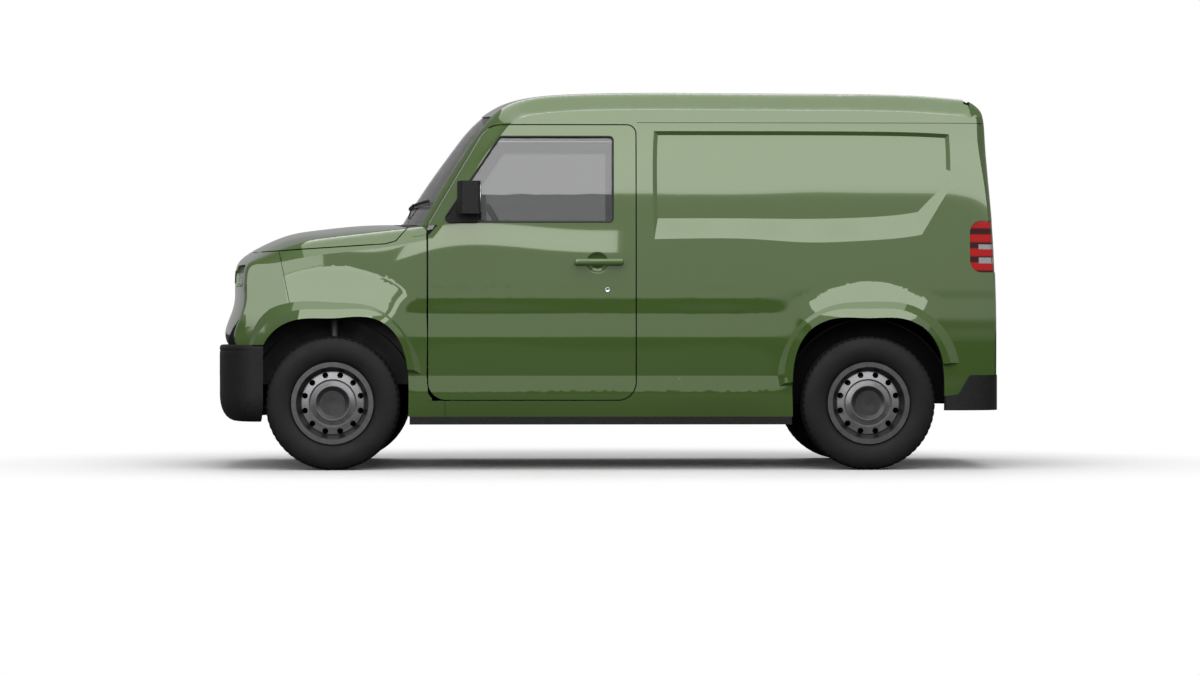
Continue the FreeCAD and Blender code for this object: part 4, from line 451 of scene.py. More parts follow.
def fair_sheet(name, node, body, material, crease=22.0, limit=0.035, passes=5, side=False,
               cup=False):
    """Copy of a frame node with finer triangles and evened-out shading that stays sharp at creases.
    Where the node follows the bare side, the shading follows the side's own smooth surface."""
    co, tris = node_triangles(node)
    rough = mesh_piece(name + "_rough", co, tris)
    rough_mesh = rough.data
    rough_mesh.set_sharp_from_angle(angle=math.radians(crease))
    corner = read(rough_mesh.corner_normals, "vector")
    bpy.data.objects.remove(rough)
    bpy.data.meshes.remove(rough_mesh)
    on = np.zeros(len(tris), bool)
    if side:
        middle, on, facing = side_faces(co, tris)
        eased = off_crease(co[tris.ravel()], np.repeat(middle[:, 2], 3))
        fair = side_normal(eased, calm=True) * np.repeat(facing, 3)[:, None]
        corner[np.repeat(on, 3)] = fair[np.repeat(on, 3)]
    tags = np.column_stack([tris.ravel(), np.round(corner * 400).astype(np.int64), np.repeat(on, 3)])
    _, first, inverse = np.unique(tags, axis=0, return_index=True, return_inverse=True)
    co, normal, tris = refine(co[tris.ravel()[first]], corner[first].astype(float), inverse.reshape(-1, 3),
                              limit)
    if cup:
        edge = CUP_LONG + 0.01
        co, normal, tris = refine(co, normal, tris, 0.005, ((CUP_X - edge, -1.0, CUP_Z - edge),
                                                            (CUP_X + edge, 1.0, CUP_Z + edge)))
    normal = even_out(co, normal, tris, passes)
    if side:
        middle, on, facing = side_faces(co, tris)
        corners = tris[on].ravel()
        sign = np.ones(len(co))
        sign[corners] = np.repeat(facing[on], 3)
        level = co[:, 2].copy()
        level[corners] = np.repeat(middle[on, 2], 3)
        fair = side_normal(off_crease(co, level), cup, True) * sign[:, None]
        normal[corners] = fair[corners]
    if cup:
        skin = np.abs(side_width(co[:, 0], co[:, 2]) - np.abs(co[:, 1])) < 0.012
        co[:, 1] -= np.sign(co[:, 1]) * cup_depth(co[:, 0], co[:, 2]) * skin
    first, final, good = weld(co, tris, 1e-6)
    piece = mesh_piece(name, co[first], final)
    piece.data.normals_split_custom_set(normal[tris[good].ravel()])
    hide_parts(node)
    return fitted(piece, body, material)


paint = finish("green_paint", (0.044, 0.082, 0.018), (0.051, 0.095, 0.022), (0.035, 0.05), 900.0, 260.0,
               0.006, 0.001, IOR=1.6, Specular_Tint=(0.85, 1.0, 0.68, 1.0), Coat_Weight=1.0,
               Coat_Roughness=0.012, Coat_IOR=1.45)
undercoat = finish("undercoat", 0.002, 0.004, (0.8, 0.95), 60.0, 300.0, 0.4, 0.001, Specular_IOR_Level=0.2)
# The undercoat starts this far under the skin, and ends at this radius round an axle and at this height.
SKIN, COATED_REACH, COATED_TOP = 0.016, 0.64, 0.98
for node, body in (("side_left", "root"), ("side_right", "root"), ("roof", "root"), ("fender_left", "root"),
                   ("fender_right", "root"), ("nose", "root"), ("bonnet", "bonnet"), ("tailgate", "tailgate"),
                   ("door_left", "door_left"), ("door_right", "door_right"),
                   ("handle_left", "door_left"), ("handle_right", "door_right")):
    sheet = fair_sheet(node + "_sheet", node, body, paint,
                       limit=0.06 if node == "roof" else 0.035,
                       side=node.startswith(("side", "door", "fender")), cup=node.startswith("door"))
    if node.startswith(("side", "fender", "nose")):
        sheet.data.materials.append(undercoat)
        x, y, z = read(sheet.data.polygons, "center", float).T
        facing = read(sheet.data.polygons, "normal", float)[:, 1] * np.sign(y)
        reach = np.minimum(np.hypot(x - AXLES["front"], z - AXLE_Z), np.hypot(x - AXLES["rear"], z - AXLE_Z))
        under = side_width(x, z) - np.abs(y) > SKIN
        coated = under & (facing < 0.3) & (reach < COATED_REACH) & (z < COATED_TOP)
        sheet.data.polygons.foreach_set("material_index", coated.astype(np.int32))

# Glass: laminated windscreen and toughened panes in the doors and the tailgate, tinted grey and bonded in.
# Each pane is the frame's own, cut finer and evened out like the sheets round it.

glass = finish("tinted_glass", (0.012, 0.015, 0.014), (0.018, 0.022, 0.021), (0.0, 0.0), 2.0, 3.0, 0.0, 0.0,
               Alpha=0.5, Specular_IOR_Level=1.0, IOR=1.65)
for node, body in (("windscreen", "root"), ("door_glass_left", "door_left"), ("door_glass_right", "door_right"),
                   ("tailgate_glass", "tailgate")):
    fair_sheet(node + "_pane", node, body, glass)

# Seams: where two pressed sheets meet, a narrow joint runs along the side, filled with dark sealer.
# Roof to side behind the door, nose to wing, windscreen pillar to wing, and wing to sill under the door.


def on_side(x, z, out=0.0, hand=-1):
    """Points on the bare side, out by a distance along y."""
    x, z = np.asarray(x, float), np.asarray(z, float)
    return np.stack([x, hand * (side_width(x, z) + out), z], -1)


def ribbon(path, normal, profile):
    """Closed bar: a profile of (across, out) points carried along a path. Across is the path's direction
    crossed with the surface's outward normal. The profile has an even number of points."""
    ahead = np.roll(path, -1, 0) - np.roll(path, 1, 0)
    ahead[0], ahead[-1] = path[1] - path[0], path[-1] - path[-2]
    across = unit(np.cross(unit(ahead), normal))
    profile = np.asarray(profile)
    co = (path[:, None] + across[:, None] * profile[None, :, :1] + normal[:, None] * profile[None, :, 1:])
    points, quads = lattice(co, close_columns=True)
    columns = len(profile)
    caps = []
    for ring in (np.arange(columns), np.arange(len(points) - columns, len(points))[::-1]):
        caps += [(ring[0], *ring[step:step + 3]) for step in range(1, columns - 1, 2)]
    return points, np.vstack([quads, np.array(caps)])


def joined(parts):
    """One set of points and faces from several."""
    points, faces, base = [], [], 0
    for co, quads in parts:
        points.append(co)
        faces.append(quads + base)
        base += len(co)
    return np.vstack(points), np.vstack(faces)


def outward(piece):
    """Joins the points of a closed piece that lie in one place, and turns every face outwards."""
    work = bmesh.new()
    work.from_mesh(piece.data)
    bmesh.ops.remove_doubles(work, verts=work.verts, dist=1e-6)
    bmesh.ops.recalc_face_normals(work, faces=work.faces)
    work.to_mesh(piece.data)
    work.free()
    return piece


def solid_piece(name, shape, body, material, sharp=40.0):
    """Closed piece from points and faces, shaded smooth up to an angle between its faces."""
    piece = outward(mesh_piece(name, *shape))
    if sharp is not None:
        piece.data.set_sharp_from_angle(angle=math.radians(sharp))
    return fitted(piece, body, material)


HANDS = ((-1, "left"), (1, "right"))
SEAM = ((-0.0014, -0.002), (-0.0014, 0.0003), (0.0014, 0.0003), (0.0014, -0.002))
SEAM_RUNS = (((0.146, 1.7655), (1.915, 1.7655)), ((-1.668, 1.1085), (-1.594, 0.748)),
             ((-1.005, 1.2375), (-0.917, 1.2375)), ((-0.8275, 0.352), (-0.8275, 0.276)))
sealer = finish("seam_sealer", (0.006, 0.008, 0.005), (0.012, 0.015, 0.010), (0.6, 0.8), 200.0,
                Specular_IOR_Level=0.3)
for hand, side in HANDS:
    seams = []
    for start, end in SEAM_RUNS:
        part = np.linspace(0.0, 1.0, max(int(math.dist(start, end) / 0.012), 3))
        path = on_side(start[0] + (end[0] - start[0]) * part, start[1] + (end[1] - start[1]) * part, 0.0, hand)
        seams.append(ribbon(path, side_normal(path), SEAM))
    solid_piece("body_seams_" + side, joined(seams), "root", sealer, None)

# Window seals: a rubber extrusion round each door pane, which hides the pane's bonded edge.
# It lies a millimetre under the door's skin and covers a centimetre of the glass.

seal_rubber = finish("seal_rubber", 0.008, 0.014, (0.38, 0.5), 120.0, Specular_IOR_Level=0.35)
WINDOW_CORNERS = ((-0.850, 1.255), (-0.553, 1.698), (0.028, 1.698), (0.028, 1.255))
SEAL_ROWS = ((0.0002, 0.0010), (0.0030, 0.0004), (0.0090, 0.0016), (0.0105, 0.0040), (0.0105, 0.0116),
             (0.0002, 0.0116))


def rounded_loop(corners, radius, inset, arc_steps=8, run_step=0.02):
    """Points round a polygon with rounded corners, moved inwards by a distance."""
    corners = np.array(corners, float)
    arcs = []
    for before, corner, after in zip(np.roll(corners, 1, 0), corners, np.roll(corners, -1, 0)):
        to_before, to_after = unit(before - corner), unit(after - corner)
        half = math.acos(np.clip(to_before @ to_after, -1, 1)) / 2
        round_at = corner + unit(to_before + to_after) * radius / math.sin(half)
        first = corner + to_before * radius / math.tan(half) - round_at
        last = corner + to_after * radius / math.tan(half) - round_at
        turn = np.linspace(0.0, 1.0, arc_steps + 1)[:, None]
        sweep = math.pi - 2 * half
        arc = (np.sin((1 - turn) * sweep) * first + np.sin(turn * sweep) * last) / math.sin(sweep)
        arcs.append(round_at + arc * (radius - inset) / radius)
    points = []
    for arc, after in zip(arcs, arcs[1:] + arcs[:1]):
        run = after[0] - arc[-1]
        steps = max(int(np.linalg.norm(run) / run_step), 1)
        points += [arc, arc[-1] + run * np.linspace(0.0, 1.0, steps + 1)[1:-1, None]]
    return np.vstack(points)


def ring_on_side(corners, radius, rows, hand):
    """Closed band round an outline on the side: each row of (inset, depth) is one loop of it."""
    count = len(rounded_loop(corners, radius, 0.0))
    loops = []
    for inset, depth in rows:
        loop = rounded_loop(corners, radius, inset)
        if len(loop) != count:
            spread = np.linspace(0, len(loop), count, endpoint=False)
            closed, steps = np.vstack([loop, loop[:1]]), np.arange(len(loop) + 1)
            loop = np.stack([np.interp(spread, steps, closed[:, axis]) for axis in (0, 1)], 1)
        loops.append(on_side(loop[:, 0], loop[:, 1], -depth, hand))
    return lattice(np.stack(loops), True, True)


for hand, side in HANDS:
    solid_piece("window_seal_" + side, ring_on_side(WINDOW_CORNERS, 0.024, SEAL_ROWS, hand), "door_" + side,
                seal_rubber, None)

# Door locks: a round chromed barrel with a key slot under each handle.
# Each is turned from one section that reaches a few millimetres into the door's skin.


def turned(section, centre, hand, around=48):
    """Closed section of (out, radius) points turned about a line that runs across the van."""
    turn = np.arange(around)[:, None] / around * 2 * math.pi
    out, radius = np.array(section).T
    co = np.stack([centre[0] + radius * np.cos(turn), centre[1] + hand * out * np.ones_like(turn),
                   centre[2] + radius * np.sin(turn)], -1)
    return lattice(co, True, True)


chrome = finish("satin_chrome", (0.50, 0.51, 0.52), (0.58, 0.59, 0.60), (0.16, 0.26), 120.0, Metallic=1.0)
LOCK = ((-0.006, 0.0), (-0.006, 0.0125), (0.0006, 0.0125), (0.0014, 0.0118), (0.0016, 0.0108), (0.0008, 0.0096),
        (0.0004, 0.0090), (0.0004, 0.0022), (-0.003, 0.0018), (-0.003, 0.0))
for hand, side in HANDS:
    lock_at = on_side([-0.0044], [0.915], 0.0, hand)[0]
    solid_piece("door_lock_" + side, turned(LOCK, lock_at, hand), "door_" + side, chrome, 35.0)

# Moulded plastic: bumpers, sill strips, arch liners, scuttle panel and mirror housings, black and fine grained.
# Injection moulded and clipped on; the front bumper's lower edge tucks under in a wide round, and its face has
# a pocket for the number plate.

plastic = finish("black_moulding", (0.008, 0.008, 0.009), (0.013, 0.013, 0.014), (0.48, 0.60), 60.0, 900.0,
                 0.25, 0.0006, Specular_IOR_Level=0.2)
dull_plastic = finish("arch_liner_felt", 0.002, 0.004, (0.8, 0.95), 90.0, 700.0, 0.5, 0.001,
                      Specular_IOR_Level=0.2)
for node, body in (("cowl", "root"), ("rear_bumper", "root"), ("sill_trims", "root"),
                   ("wheel_liners", "root"), ("mirror_left", "door_left"), ("mirror_right", "door_right")):
    fair_sheet(node + "_moulding", node, body,
               dull_plastic if node == "wheel_liners" else plastic, limit=0.08)

BUMPER_PLAN = np.array(((0.335, -0.975), (0.20, -0.955), (0.095, -0.84), (0.035, -0.60), (0.008, -0.30),
                        (0.0, 0.0), (0.008, 0.30), (0.035, 0.60), (0.095, 0.84), (0.20, 0.955),
                        (0.335, 0.975)))


def run_along(points):
    """Distance of each point from the first, along the line through all of them."""
    return np.concatenate([[0], np.cumsum(np.linalg.norm(np.diff(points, axis=0), axis=1))])


def bumper_surface(plan_steps, shape):
    """Bumper skin: the plan line from side to side, each height of it drawn in by the shape's own distance."""
    run = run_along(BUMPER_PLAN)
    plan = spline_weights(run, np.linspace(0.0, run[-1], plan_steps)) @ BUMPER_PLAN
    line = np.stack([-LENGTH / 2 + plan[:, 0] * HALF_WIDTH, plan[:, 1] * HALF_WIDTH], 1)
    ahead = unit(np.gradient(line, axis=0))
    inside = np.stack([ahead[:, 1], -ahead[:, 0]], 1)
    return np.stack([np.column_stack([line + inside * draw, np.full(plan_steps, height)])
                     for height, draw in shape])


def plateau(value, half, edge):
    """One inside a half width and nought outside it, with a smooth step between."""
    part = np.clip((half - np.abs(value)) / edge + 0.5, 0.0, 1.0)
    return part * part * (3 - 2 * part)


PLATE_Z = 0.5285
BUMPER_STEPS = 321
# Section of the bumper as heights and how far it is drawn in there, down the face and back up inside.
turn = np.linspace(0.0, math.pi / 2, 9)
outer = [(0.636, 0.012), (0.6335, 0.005), (0.628, 0.001)] + [(z, 0.0) for z in np.linspace(0.62, 0.385, 48)]
outer += [(0.385 - 0.14 * math.sin(a), 0.085 * (1 - math.cos(a)) ** 1.15) for a in turn[1:]]
inner = [(0.245, 0.125)] + [(0.36 - 0.10 * math.sin(a), 0.04 + 0.085 * (1 - math.cos(a))) for a in turn[::-1]]
inner += [(0.44, 0.04), (0.60, 0.04), (0.636, 0.04)]
shell = bumper_surface(BUMPER_STEPS, outer + inner)
across, height = shell[:len(outer), :, 1], shell[:len(outer), :, 2]
pocket = plateau(across, 0.272, 0.008) * plateau(height - PLATE_Z, 0.0665, 0.008) * 0.010
slots = plateau(across, 0.44, 0.01) * (plateau(height - 0.405, 0.011, 0.006)
                                       + plateau(height - 0.435, 0.011, 0.006)) * 0.014
groove = np.exp(-((height - 0.606) / 0.0035) ** 2) * 0.003 * (np.abs(across) > 0.285)
shell[:len(outer), :, 0] += pocket + slots + groove
bumper = solid_piece("front_bumper_moulding", lattice(shell, True), "root", plastic, 50.0)
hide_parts("front_bumper")

# Number plate: a blank white sheet with a black rim, screwed into the pocket in the front bumper.
# Both are flat slabs with rounded corners, the sheet a little smaller than the rim and standing on it.


def rounded_slab(place, width, height, thick, radius, face, edge=0.0015):
    """Closed flat slab with rounded corners and a small edge round. face turns its own (across, up, out) into
    x, y, z."""
    corners = np.array(((-1, -1), (-1, 1), (1, 1), (1, -1))) * (width / 2, height / 2)
    outline = rounded_loop(corners, radius, 0.0, 6, width)
    scale = 1 - 2 * edge / np.array([width, height])
    painted_light_rings = ((outline * 0.0, 0.0), (outline * scale, 0.0), (outline, edge), (outline, thick - edge),
             (outline * scale, thick), (outline * 0.0, thick))
    co = np.stack([np.column_stack([ring, np.full(len(ring), out)]) for ring, out in painted_light_rings])
    return lattice(np.asarray(place, float) + co @ np.array(face, float), close_columns=True)


plate_white = finish("plate_white", (0.62, 0.62, 0.60), (0.68, 0.68, 0.66), (0.25, 0.35), 40.0, 900.0, 0.03)
FORWARDS = ((0.0, 1.0, 0.0), (0.0, 0.0, 1.0), (-1.0, 0.0, 0.0))
solid_piece("plate_rim_front", rounded_slab((-2.0135, 0.0, PLATE_Z), 0.532, 0.124, 0.004, 0.012, FORWARDS),
            "root", plastic)
solid_piece("plate_sheet_front", rounded_slab((-2.0171, 0.0, PLATE_Z), 0.516, 0.108, 0.002, 0.008, FORWARDS,
                                              0.0006), "root", plate_white)

# Wheels: radial tyres with a five-rib road tread on pressed steel rims lacquered dark silver.
# Each tyre is turned about its axle from one section; the ribs' shoulders are cut into blocks.

WHEEL_Y = 0.705
WHEELS = [(axle + "_" + side, axle, hand, side) for axle in AXLES for hand, side in HANDS]
TYRE_HALF = np.array(((0.0722, 0.1945), (0.0722, 0.2086), (0.0790, 0.2160), (0.0880, 0.2340), (0.0938, 0.2580),
                      (0.0948, 0.2780), (0.0930, 0.2960), (0.0880, 0.3140), (0.0800, 0.3290), (0.0690, 0.3375),
                      (0.0500, 0.3394), (0.0250, 0.3399), (0.0, 0.34)))


def tyre_section():
    """Section from bead to bead as (across, radius): a smooth curve through the half section and its mirror."""
    run = run_along(TYRE_HALF[1:])
    curve = spline_weights(run, np.linspace(0.0, run[-1], 46)) @ TYRE_HALF[1:]
    curve = np.vstack([TYRE_HALF[:1], curve])
    return np.vstack([curve, curve[-2::-1] * (-1, 1)])


GROOVES = (-0.047, -0.017, 0.017, 0.047)
GROOVE_DEPTH, GROOVE_WIDTH, TREAD_FROM = 0.0068, 0.0034, 0.3285
# Each sidewall ring's height and radius.
WALL_RINGS = ((0.0008, 0.2300), (0.0007, 0.3050))


def tyre(axle, hand):
    """Tyre turned about the axle: radius less the grooves, which run round and, at the shoulders, across."""
    section = tyre_section()
    around = 240
    turn = (np.arange(around) / around * 2 * math.pi)[:, None]
    across, radius = section[:, 0], section[:, 1]
    ribs = np.zeros(len(section))
    for groove in GROOVES:
        ribs = np.maximum(ribs, np.clip(1.6 - np.abs(across - groove) / GROOVE_WIDTH, 0, 1))
    tread = np.clip((radius - TREAD_FROM) / 0.003, 0, 1)
    phase = (np.arange(around) % 4)[:, None]
    blocks = (phase == 0) * (np.abs(across) > 0.052)
    middle = (phase == 2) * ((np.abs(across) > 0.021) & (np.abs(across) < 0.043))
    depth = np.maximum(ribs, np.maximum(blocks, middle * 0.6)) * tread * GROOVE_DEPTH
    wall = sum(rise * np.exp(-((radius - at) / 0.0016) ** 2) for rise, at in WALL_RINGS)
    r = radius - depth
    out = (across + np.sign(across) * wall * (np.abs(across) > 0.07)) * np.ones_like(r)
    out = np.clip(out, -0.095, 0.095)
    co = np.stack([AXLES[axle] + r * np.cos(turn), hand * WHEEL_Y + out, AXLE_Z + r * np.sin(turn)], -1)
    return lattice(co, True, True)


rubber = finish("tyre_rubber", 0.005, 0.009, (0.55, 0.7), 14.0, 500.0, 0.2, Specular_IOR_Level=0.25)
steel = finish("wheel_lacquer_painted_light", (0.17, 0.17, 0.175), (0.21, 0.21, 0.215), (0.30, 0.40), 30.0, 1200.0, 0.08,
               0.0003, Metallic=0.7)
steel_tree = steel.node_tree
steel_shader = steel_tree.nodes["Principled BSDF"]
steel_place = add_node(steel_tree, "TexCoord")
steel_split = add_node(steel_tree, "SeparateXYZ")
wire(steel_tree, (steel_place, "Object", steel_split, "Vector"))


def steel_math(operation, first, second=None):
    """Maths node of the wheel lacquer, whose inputs are sockets or plain numbers."""
    node = add_node(steel_tree, "Math", {"operation": operation})
    for index, value in enumerate((first, second)):
        if isinstance(value, (int, float)):
            node.inputs[index].default_value = value
        elif value is not None:
            steel_tree.links.new(value, node.inputs[index])
    return node.outputs["Value"]


# Radius over which the painted highlight and shade round the hub are spread, and that of the dished middle.
RING_REACH = 0.208
CAP_REACH = 0.0835
middle_x = (AXLES["front"] + AXLES["rear"]) / 2
from_middle = steel_math("ABSOLUTE", steel_math("SUBTRACT", steel_split.outputs["X"], middle_x))
from_axle = steel_math("SUBTRACT", from_middle, AXLES["rear"] - middle_x)
from_floor = steel_math("SUBTRACT", steel_split.outputs["Z"], AXLE_Z)
wheel_radius = steel_math("SQRT", steel_math("ADD", steel_math("MULTIPLY", from_axle, from_axle),
                                             steel_math("MULTIPLY", from_floor, from_floor)))
# The lacquer's colour is multiplied by bands round the hub: lighter on the disc round the holes, a painted
# highlight; darker in a narrow band by the rim's well, painted shade; and darker over the middle.
painted_light_rings = add_node(steel_tree, "ValToRGB")
set_ramp(painted_light_rings, (0.0, (0.26, 0.26, 0.265)), (1.0, 0.50), (0.40, 0.26), (0.44, 0.95), (0.745, 1.15),
         (0.765, 0.2), (0.865, 0.2), (0.885, 0.5))
steel_tree.links.new(steel_math("DIVIDE", wheel_radius, RING_REACH), painted_light_rings.inputs["Fac"])
tinted = add_node(steel_tree, "Mix", {"data_type": "RGBA", "blend_type": "MULTIPLY"}, Factor=1.0)
steel_tree.links.new(steel_shader.inputs["Base Color"].links[0].from_socket, tinted.inputs["A"])
wire(steel_tree, (painted_light_rings, "Color", tinted, "B"), (tinted, "Result", steel_shader, "Base Color"))
for wheel, axle, hand, side in WHEELS:
    body = "wheel_" + wheel
    tyre_piece = solid_piece("tyre_%s_rubber" % wheel, tyre(axle, hand), body, rubber)
    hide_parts("tyre_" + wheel)
    rim = fair_sheet("rim_%s_steel" % wheel, "rim_" + wheel, body, steel, crease=20.0, passes=2)
    # The middle of the rim is shaded as the hollow of a dish.
    corners = read(rim.data.corner_normals, "vector")
    where = read(rim.data.vertices, "co")[read(rim.data.loops, "vertex_index", np.int32, 1).ravel()]
    from_hub = np.hypot(where[:, 0] - AXLES[axle], where[:, 2] - AXLE_Z)
    corners[(from_hub < CAP_REACH) & (np.abs(corners[:, 1]) > 0.4)] *= (-0.7, 1.0, -0.7)
    rim.data.normals_split_custom_set(unit(corners))

# Valves: a rubber valve stands in each rim's well.
# Each is one turned section with a foot, a waist and a cap.

VALVE = ((0.0, 0.0), (0.0, 0.0052), (0.006, 0.0046), (0.016, 0.0040), (0.017, 0.0046), (0.024, 0.0046),
         (0.0255, 0.0036), (0.0255, 0.0))
VALVE_REACH = 0.172
VALVE_TURN = {"front": 0.9, "rear": 2.4}
for wheel, axle, hand, side in WHEELS:
    spot = (AXLES[axle] + VALVE_REACH * math.cos(VALVE_TURN[axle]), hand * (WHEEL_Y + 0.052),
            AXLE_Z + VALVE_REACH * math.sin(VALVE_TURN[axle]))
    solid_piece("valve_" + wheel, turned(VALVE, spot, hand, 16), "wheel_" + wheel, rubber, None)

# Brakes: a cast disc stands behind each wheel's holes, bolted to the hub, and a pressed shield behind the disc.
# Each is one turned section; the disc's has friction faces, the vented gap between them, bell and hub flange.

cast = finish("cast_iron", (0.07, 0.066, 0.062), (0.13, 0.125, 0.12), (0.4, 0.6), 40.0, 300.0, 0.15,
              Metallic=0.8)
DISC = ((-0.048, 0.075), (-0.048, 0.138), (-0.044, 0.140), (-0.040, 0.138), (-0.038, 0.132), (-0.036, 0.132),
        (-0.034, 0.138), (-0.030, 0.140), (-0.026, 0.138), (-0.026, 0.080), (-0.018, 0.078), (-0.018, 0.064),
        (-0.040, 0.066))
SHIELD = ((-0.060, 0.052), (-0.060, 0.164), (-0.050, 0.166), (-0.050, 0.163), (-0.0575, 0.161),
          (-0.0575, 0.052))
for wheel, axle, hand, side in WHEELS:
    hub = (AXLES[axle], hand * WHEEL_Y, AXLE_Z)
    solid_piece("brake_disc_" + wheel, turned(DISC, hub, hand, 96), "wheel_" + wheel, cast,
                35.0)
for wheel, axle, hand, side in WHEELS:
    hub = (AXLES[axle], hand * WHEEL_Y, AXLE_Z)
    solid_piece("brake_shield_" + wheel, turned(SHIELD, hub, hand, 96),
                "steer_" + side if axle == "front" else "root", undercoat, 35.0)

# Closing sheets: one stands over each rear arch inside, and one fills each door's lower front corner.
# The corner's sheet has a hollow round edge, which leaves room for the door's own rounded corner to swing.

ARCH_SHEET = (0.70, 0.050, 0.003, 0.006)
CORNER_X, CORNER_Z = -0.918, 0.353
CORNER_ROUND, SHEET_ROUND = 0.066, 0.067
for hand, side in HANDS:
    solid_piece("arch_sheet_" + side, rounded_slab((AXLES["rear"], hand * 0.690, 0.782), *ARCH_SHEET,
                                                   ((1.0, 0.0, 0.0), (0.0, 0.0, 1.0), (0.0, hand, 0.0))),
                "root", undercoat, None)
    arc = np.radians(np.linspace(12.5, 52.0, 13))
    corner = np.array((CORNER_X, CORNER_Z))
    inner_edge = corner + CORNER_ROUND - SHEET_ROUND * np.column_stack([np.cos(arc), np.sin(arc)])
    outer_edge = np.concatenate([
        np.column_stack([np.full(7, CORNER_X), np.linspace(inner_edge[0, 1], CORNER_Z, 7)]),
        np.column_stack([np.linspace(CORNER_X, inner_edge[-1, 0], 7), np.full(7, CORNER_Z)])[1:]])
    grid = outer_edge[None] + (inner_edge - outer_edge)[None] * np.linspace(0, 1, 5)[:, None, None]
    skin = on_side(grid[..., 0].ravel(), grid[..., 1].ravel(), -0.0010, hand)
    back = skin - np.array([0.0, hand * 0.002, 0.0])
    loop = np.concatenate([skin.reshape(5, 13, 3), back.reshape(5, 13, 3)[::-1]])
    solid_piece("door_gusset_" + side, lattice(loop, True), "root", paint, 35.0)

# Tail lamps: red lenses round the rear corners, darker and lighter in bands, with two grey bars across each.
# The bars are thin strips of clear plastic laid on the lens and bent round the corner with it.


def tree_of(names):
    """Search tree over the triangles of some frame nodes."""
    points, faces = joined([node_triangles(name) for name in names])
    return BVHTree.FromPolygons(points.tolist(), faces.tolist())


def laid_on(tree, starts, aims, out=0.0, fall=0.0):
    """Points where rays meet a tree, lifted out of the surface by a distance, with the surface's directions.
    A ray that meets nothing gives the point at a distance of fall along it."""
    places, normals = [], []
    for start, aim in zip(starts, aims):
        place, normal = tree.ray_cast(Vector(start), Vector(aim))[:2]
        if place is None:
            place, normal = Vector(start) + Vector(aim) * fall, -Vector(aim).normalized()
        places.append(place + normal * out)
        normals.append(normal)
    return np.array(places), np.array(normals)


lens_red, red_tree, red_shader = new_material("red_lens", {"Roughness": 0.05, "Specular_IOR_Level": 0.28})
red_place = add_node(red_tree, "TexCoord")
red_bars = add_node(red_tree, "TexWave", {"wave_type": "BANDS", "bands_direction": "Z"}, Scale=4.4)
red_steps = add_node(red_tree, "MapRange", From_Min=0.25, From_Max=0.6)
red_mix = add_node(red_tree, "Mix", {"data_type": "RGBA"}, A=(0.030, 0.0004, 0.0004, 1.0),
                   B=(0.38, 0.002, 0.002, 1.0))
red_bump = add_node(red_tree, "Bump", Strength=0.12, Distance=0.001)
wire(red_tree, (red_place, "Object", red_bars, "Vector"), (red_bars, "Fac", red_steps, "Value"),
     (red_steps, "Result", red_mix, "Factor"), (red_mix, "Result", red_shader, "Base Color"),
     (red_bars, "Fac", red_bump, "Height"), (red_bump, "Normal", red_shader, "Normal"))
fair_sheet("tail_lamp_lenses", "tail_lamps", "root", lens_red, limit=0.012)

lens_grey = finish("reversing_lens", (0.16, 0.16, 0.165), (0.30, 0.30, 0.31), (0.06, 0.12), 260.0,
                   Coat_Weight=1.0)
tail_tree = tree_of(["tail_lamps"])
# Axis of the body's rear corner, how far from it the rays start, and where the bars end in front.
ROUND_X, ROUND_Y = 1.85, 0.62
RAY_START = 0.4
LAMP_FRONT = 1.88
angles = np.radians(np.linspace(12.0, 80.0, 30))
for hand, side in HANDS:
    bars = []
    for low, high in ((1.122, 1.147), (1.050, 1.080)):
        rows = []
        for height in np.linspace(low, high, 6):
            aims = np.column_stack([-np.sin(angles), -hand * np.cos(angles), 0.0 * angles])
            starts = (ROUND_X, hand * ROUND_Y, height) - RAY_START * aims
            rows.append(laid_on(tail_tree, starts, aims, 0.0007, RAY_START)[0])
        skin = np.array(rows)
        from_round = np.hypot(skin[..., 0] - ROUND_X, np.abs(skin[..., 1]) - ROUND_Y)
        skin = skin[:, (skin[..., 0] > LAMP_FRONT).all(0) & (from_round > 0.05).all(0)]
        under = skin - np.array([0.0016, hand * 0.0016, 0.0])
        bars.append(lattice(np.concatenate([skin, under[::-1]]), True))
    solid_piece("reversing_lamp_" + side, joined(bars), "root", lens_grey, 30.0)

# Headlamps: clear lenses over a black housing, in front of which stands a light bar on each side.
# Housing and bar are bent to the lens's own curve behind it.

lens = finish("clear_lens", (0.40, 0.42, 0.43), (0.46, 0.48, 0.49), (0.0, 0.0), 6.0, 40.0, 0.0, 0.0, Alpha=0.22,
              Specular_IOR_Level=1.0, IOR=1.5)
fair_sheet("headlamp_lenses", "headlamps", "root", lens)
housing = finish("lamp_housing", 0.010, 0.018, (0.2, 0.35), 80.0, Specular_IOR_Level=0.5)
mirror_silver = finish("reflector_silver", (0.70, 0.71, 0.72), (0.76, 0.77, 0.78), (0.05, 0.12), 60.0,
                       Metallic=1.0)
head_tree = tree_of(["headlamps"])


def skin_patch(tree, y_low, y_high, z_low, z_high, aim, out, thick, columns=40, rows=9):
    """Closed thin panel on a surface that faces the front or the rear: a grid of points met by rays."""
    start = 3.0
    across, up = np.meshgrid(np.linspace(y_low, y_high, columns), np.linspace(z_low, z_high, rows))
    starts = np.stack([np.full(across.size, -aim * start), across.ravel(), up.ravel()], 1)
    skin, normal = laid_on(tree, starts, [(aim, 0.0, 0.0)] * across.size, out, start)
    shape = (rows, columns, 3)
    loop = np.concatenate([skin.reshape(shape), (skin - normal * thick).reshape(shape)[::-1]])
    points, quads = lattice(loop, True)
    for end in (0, columns - 1):
        edge = np.arange(2 * rows) * columns + end
        caps = [(edge[i], edge[i + 1], edge[-2 - i], edge[-1 - i]) for i in range(rows - 1)]
        quads = np.vstack([quads, np.array(caps)])
    return points, quads


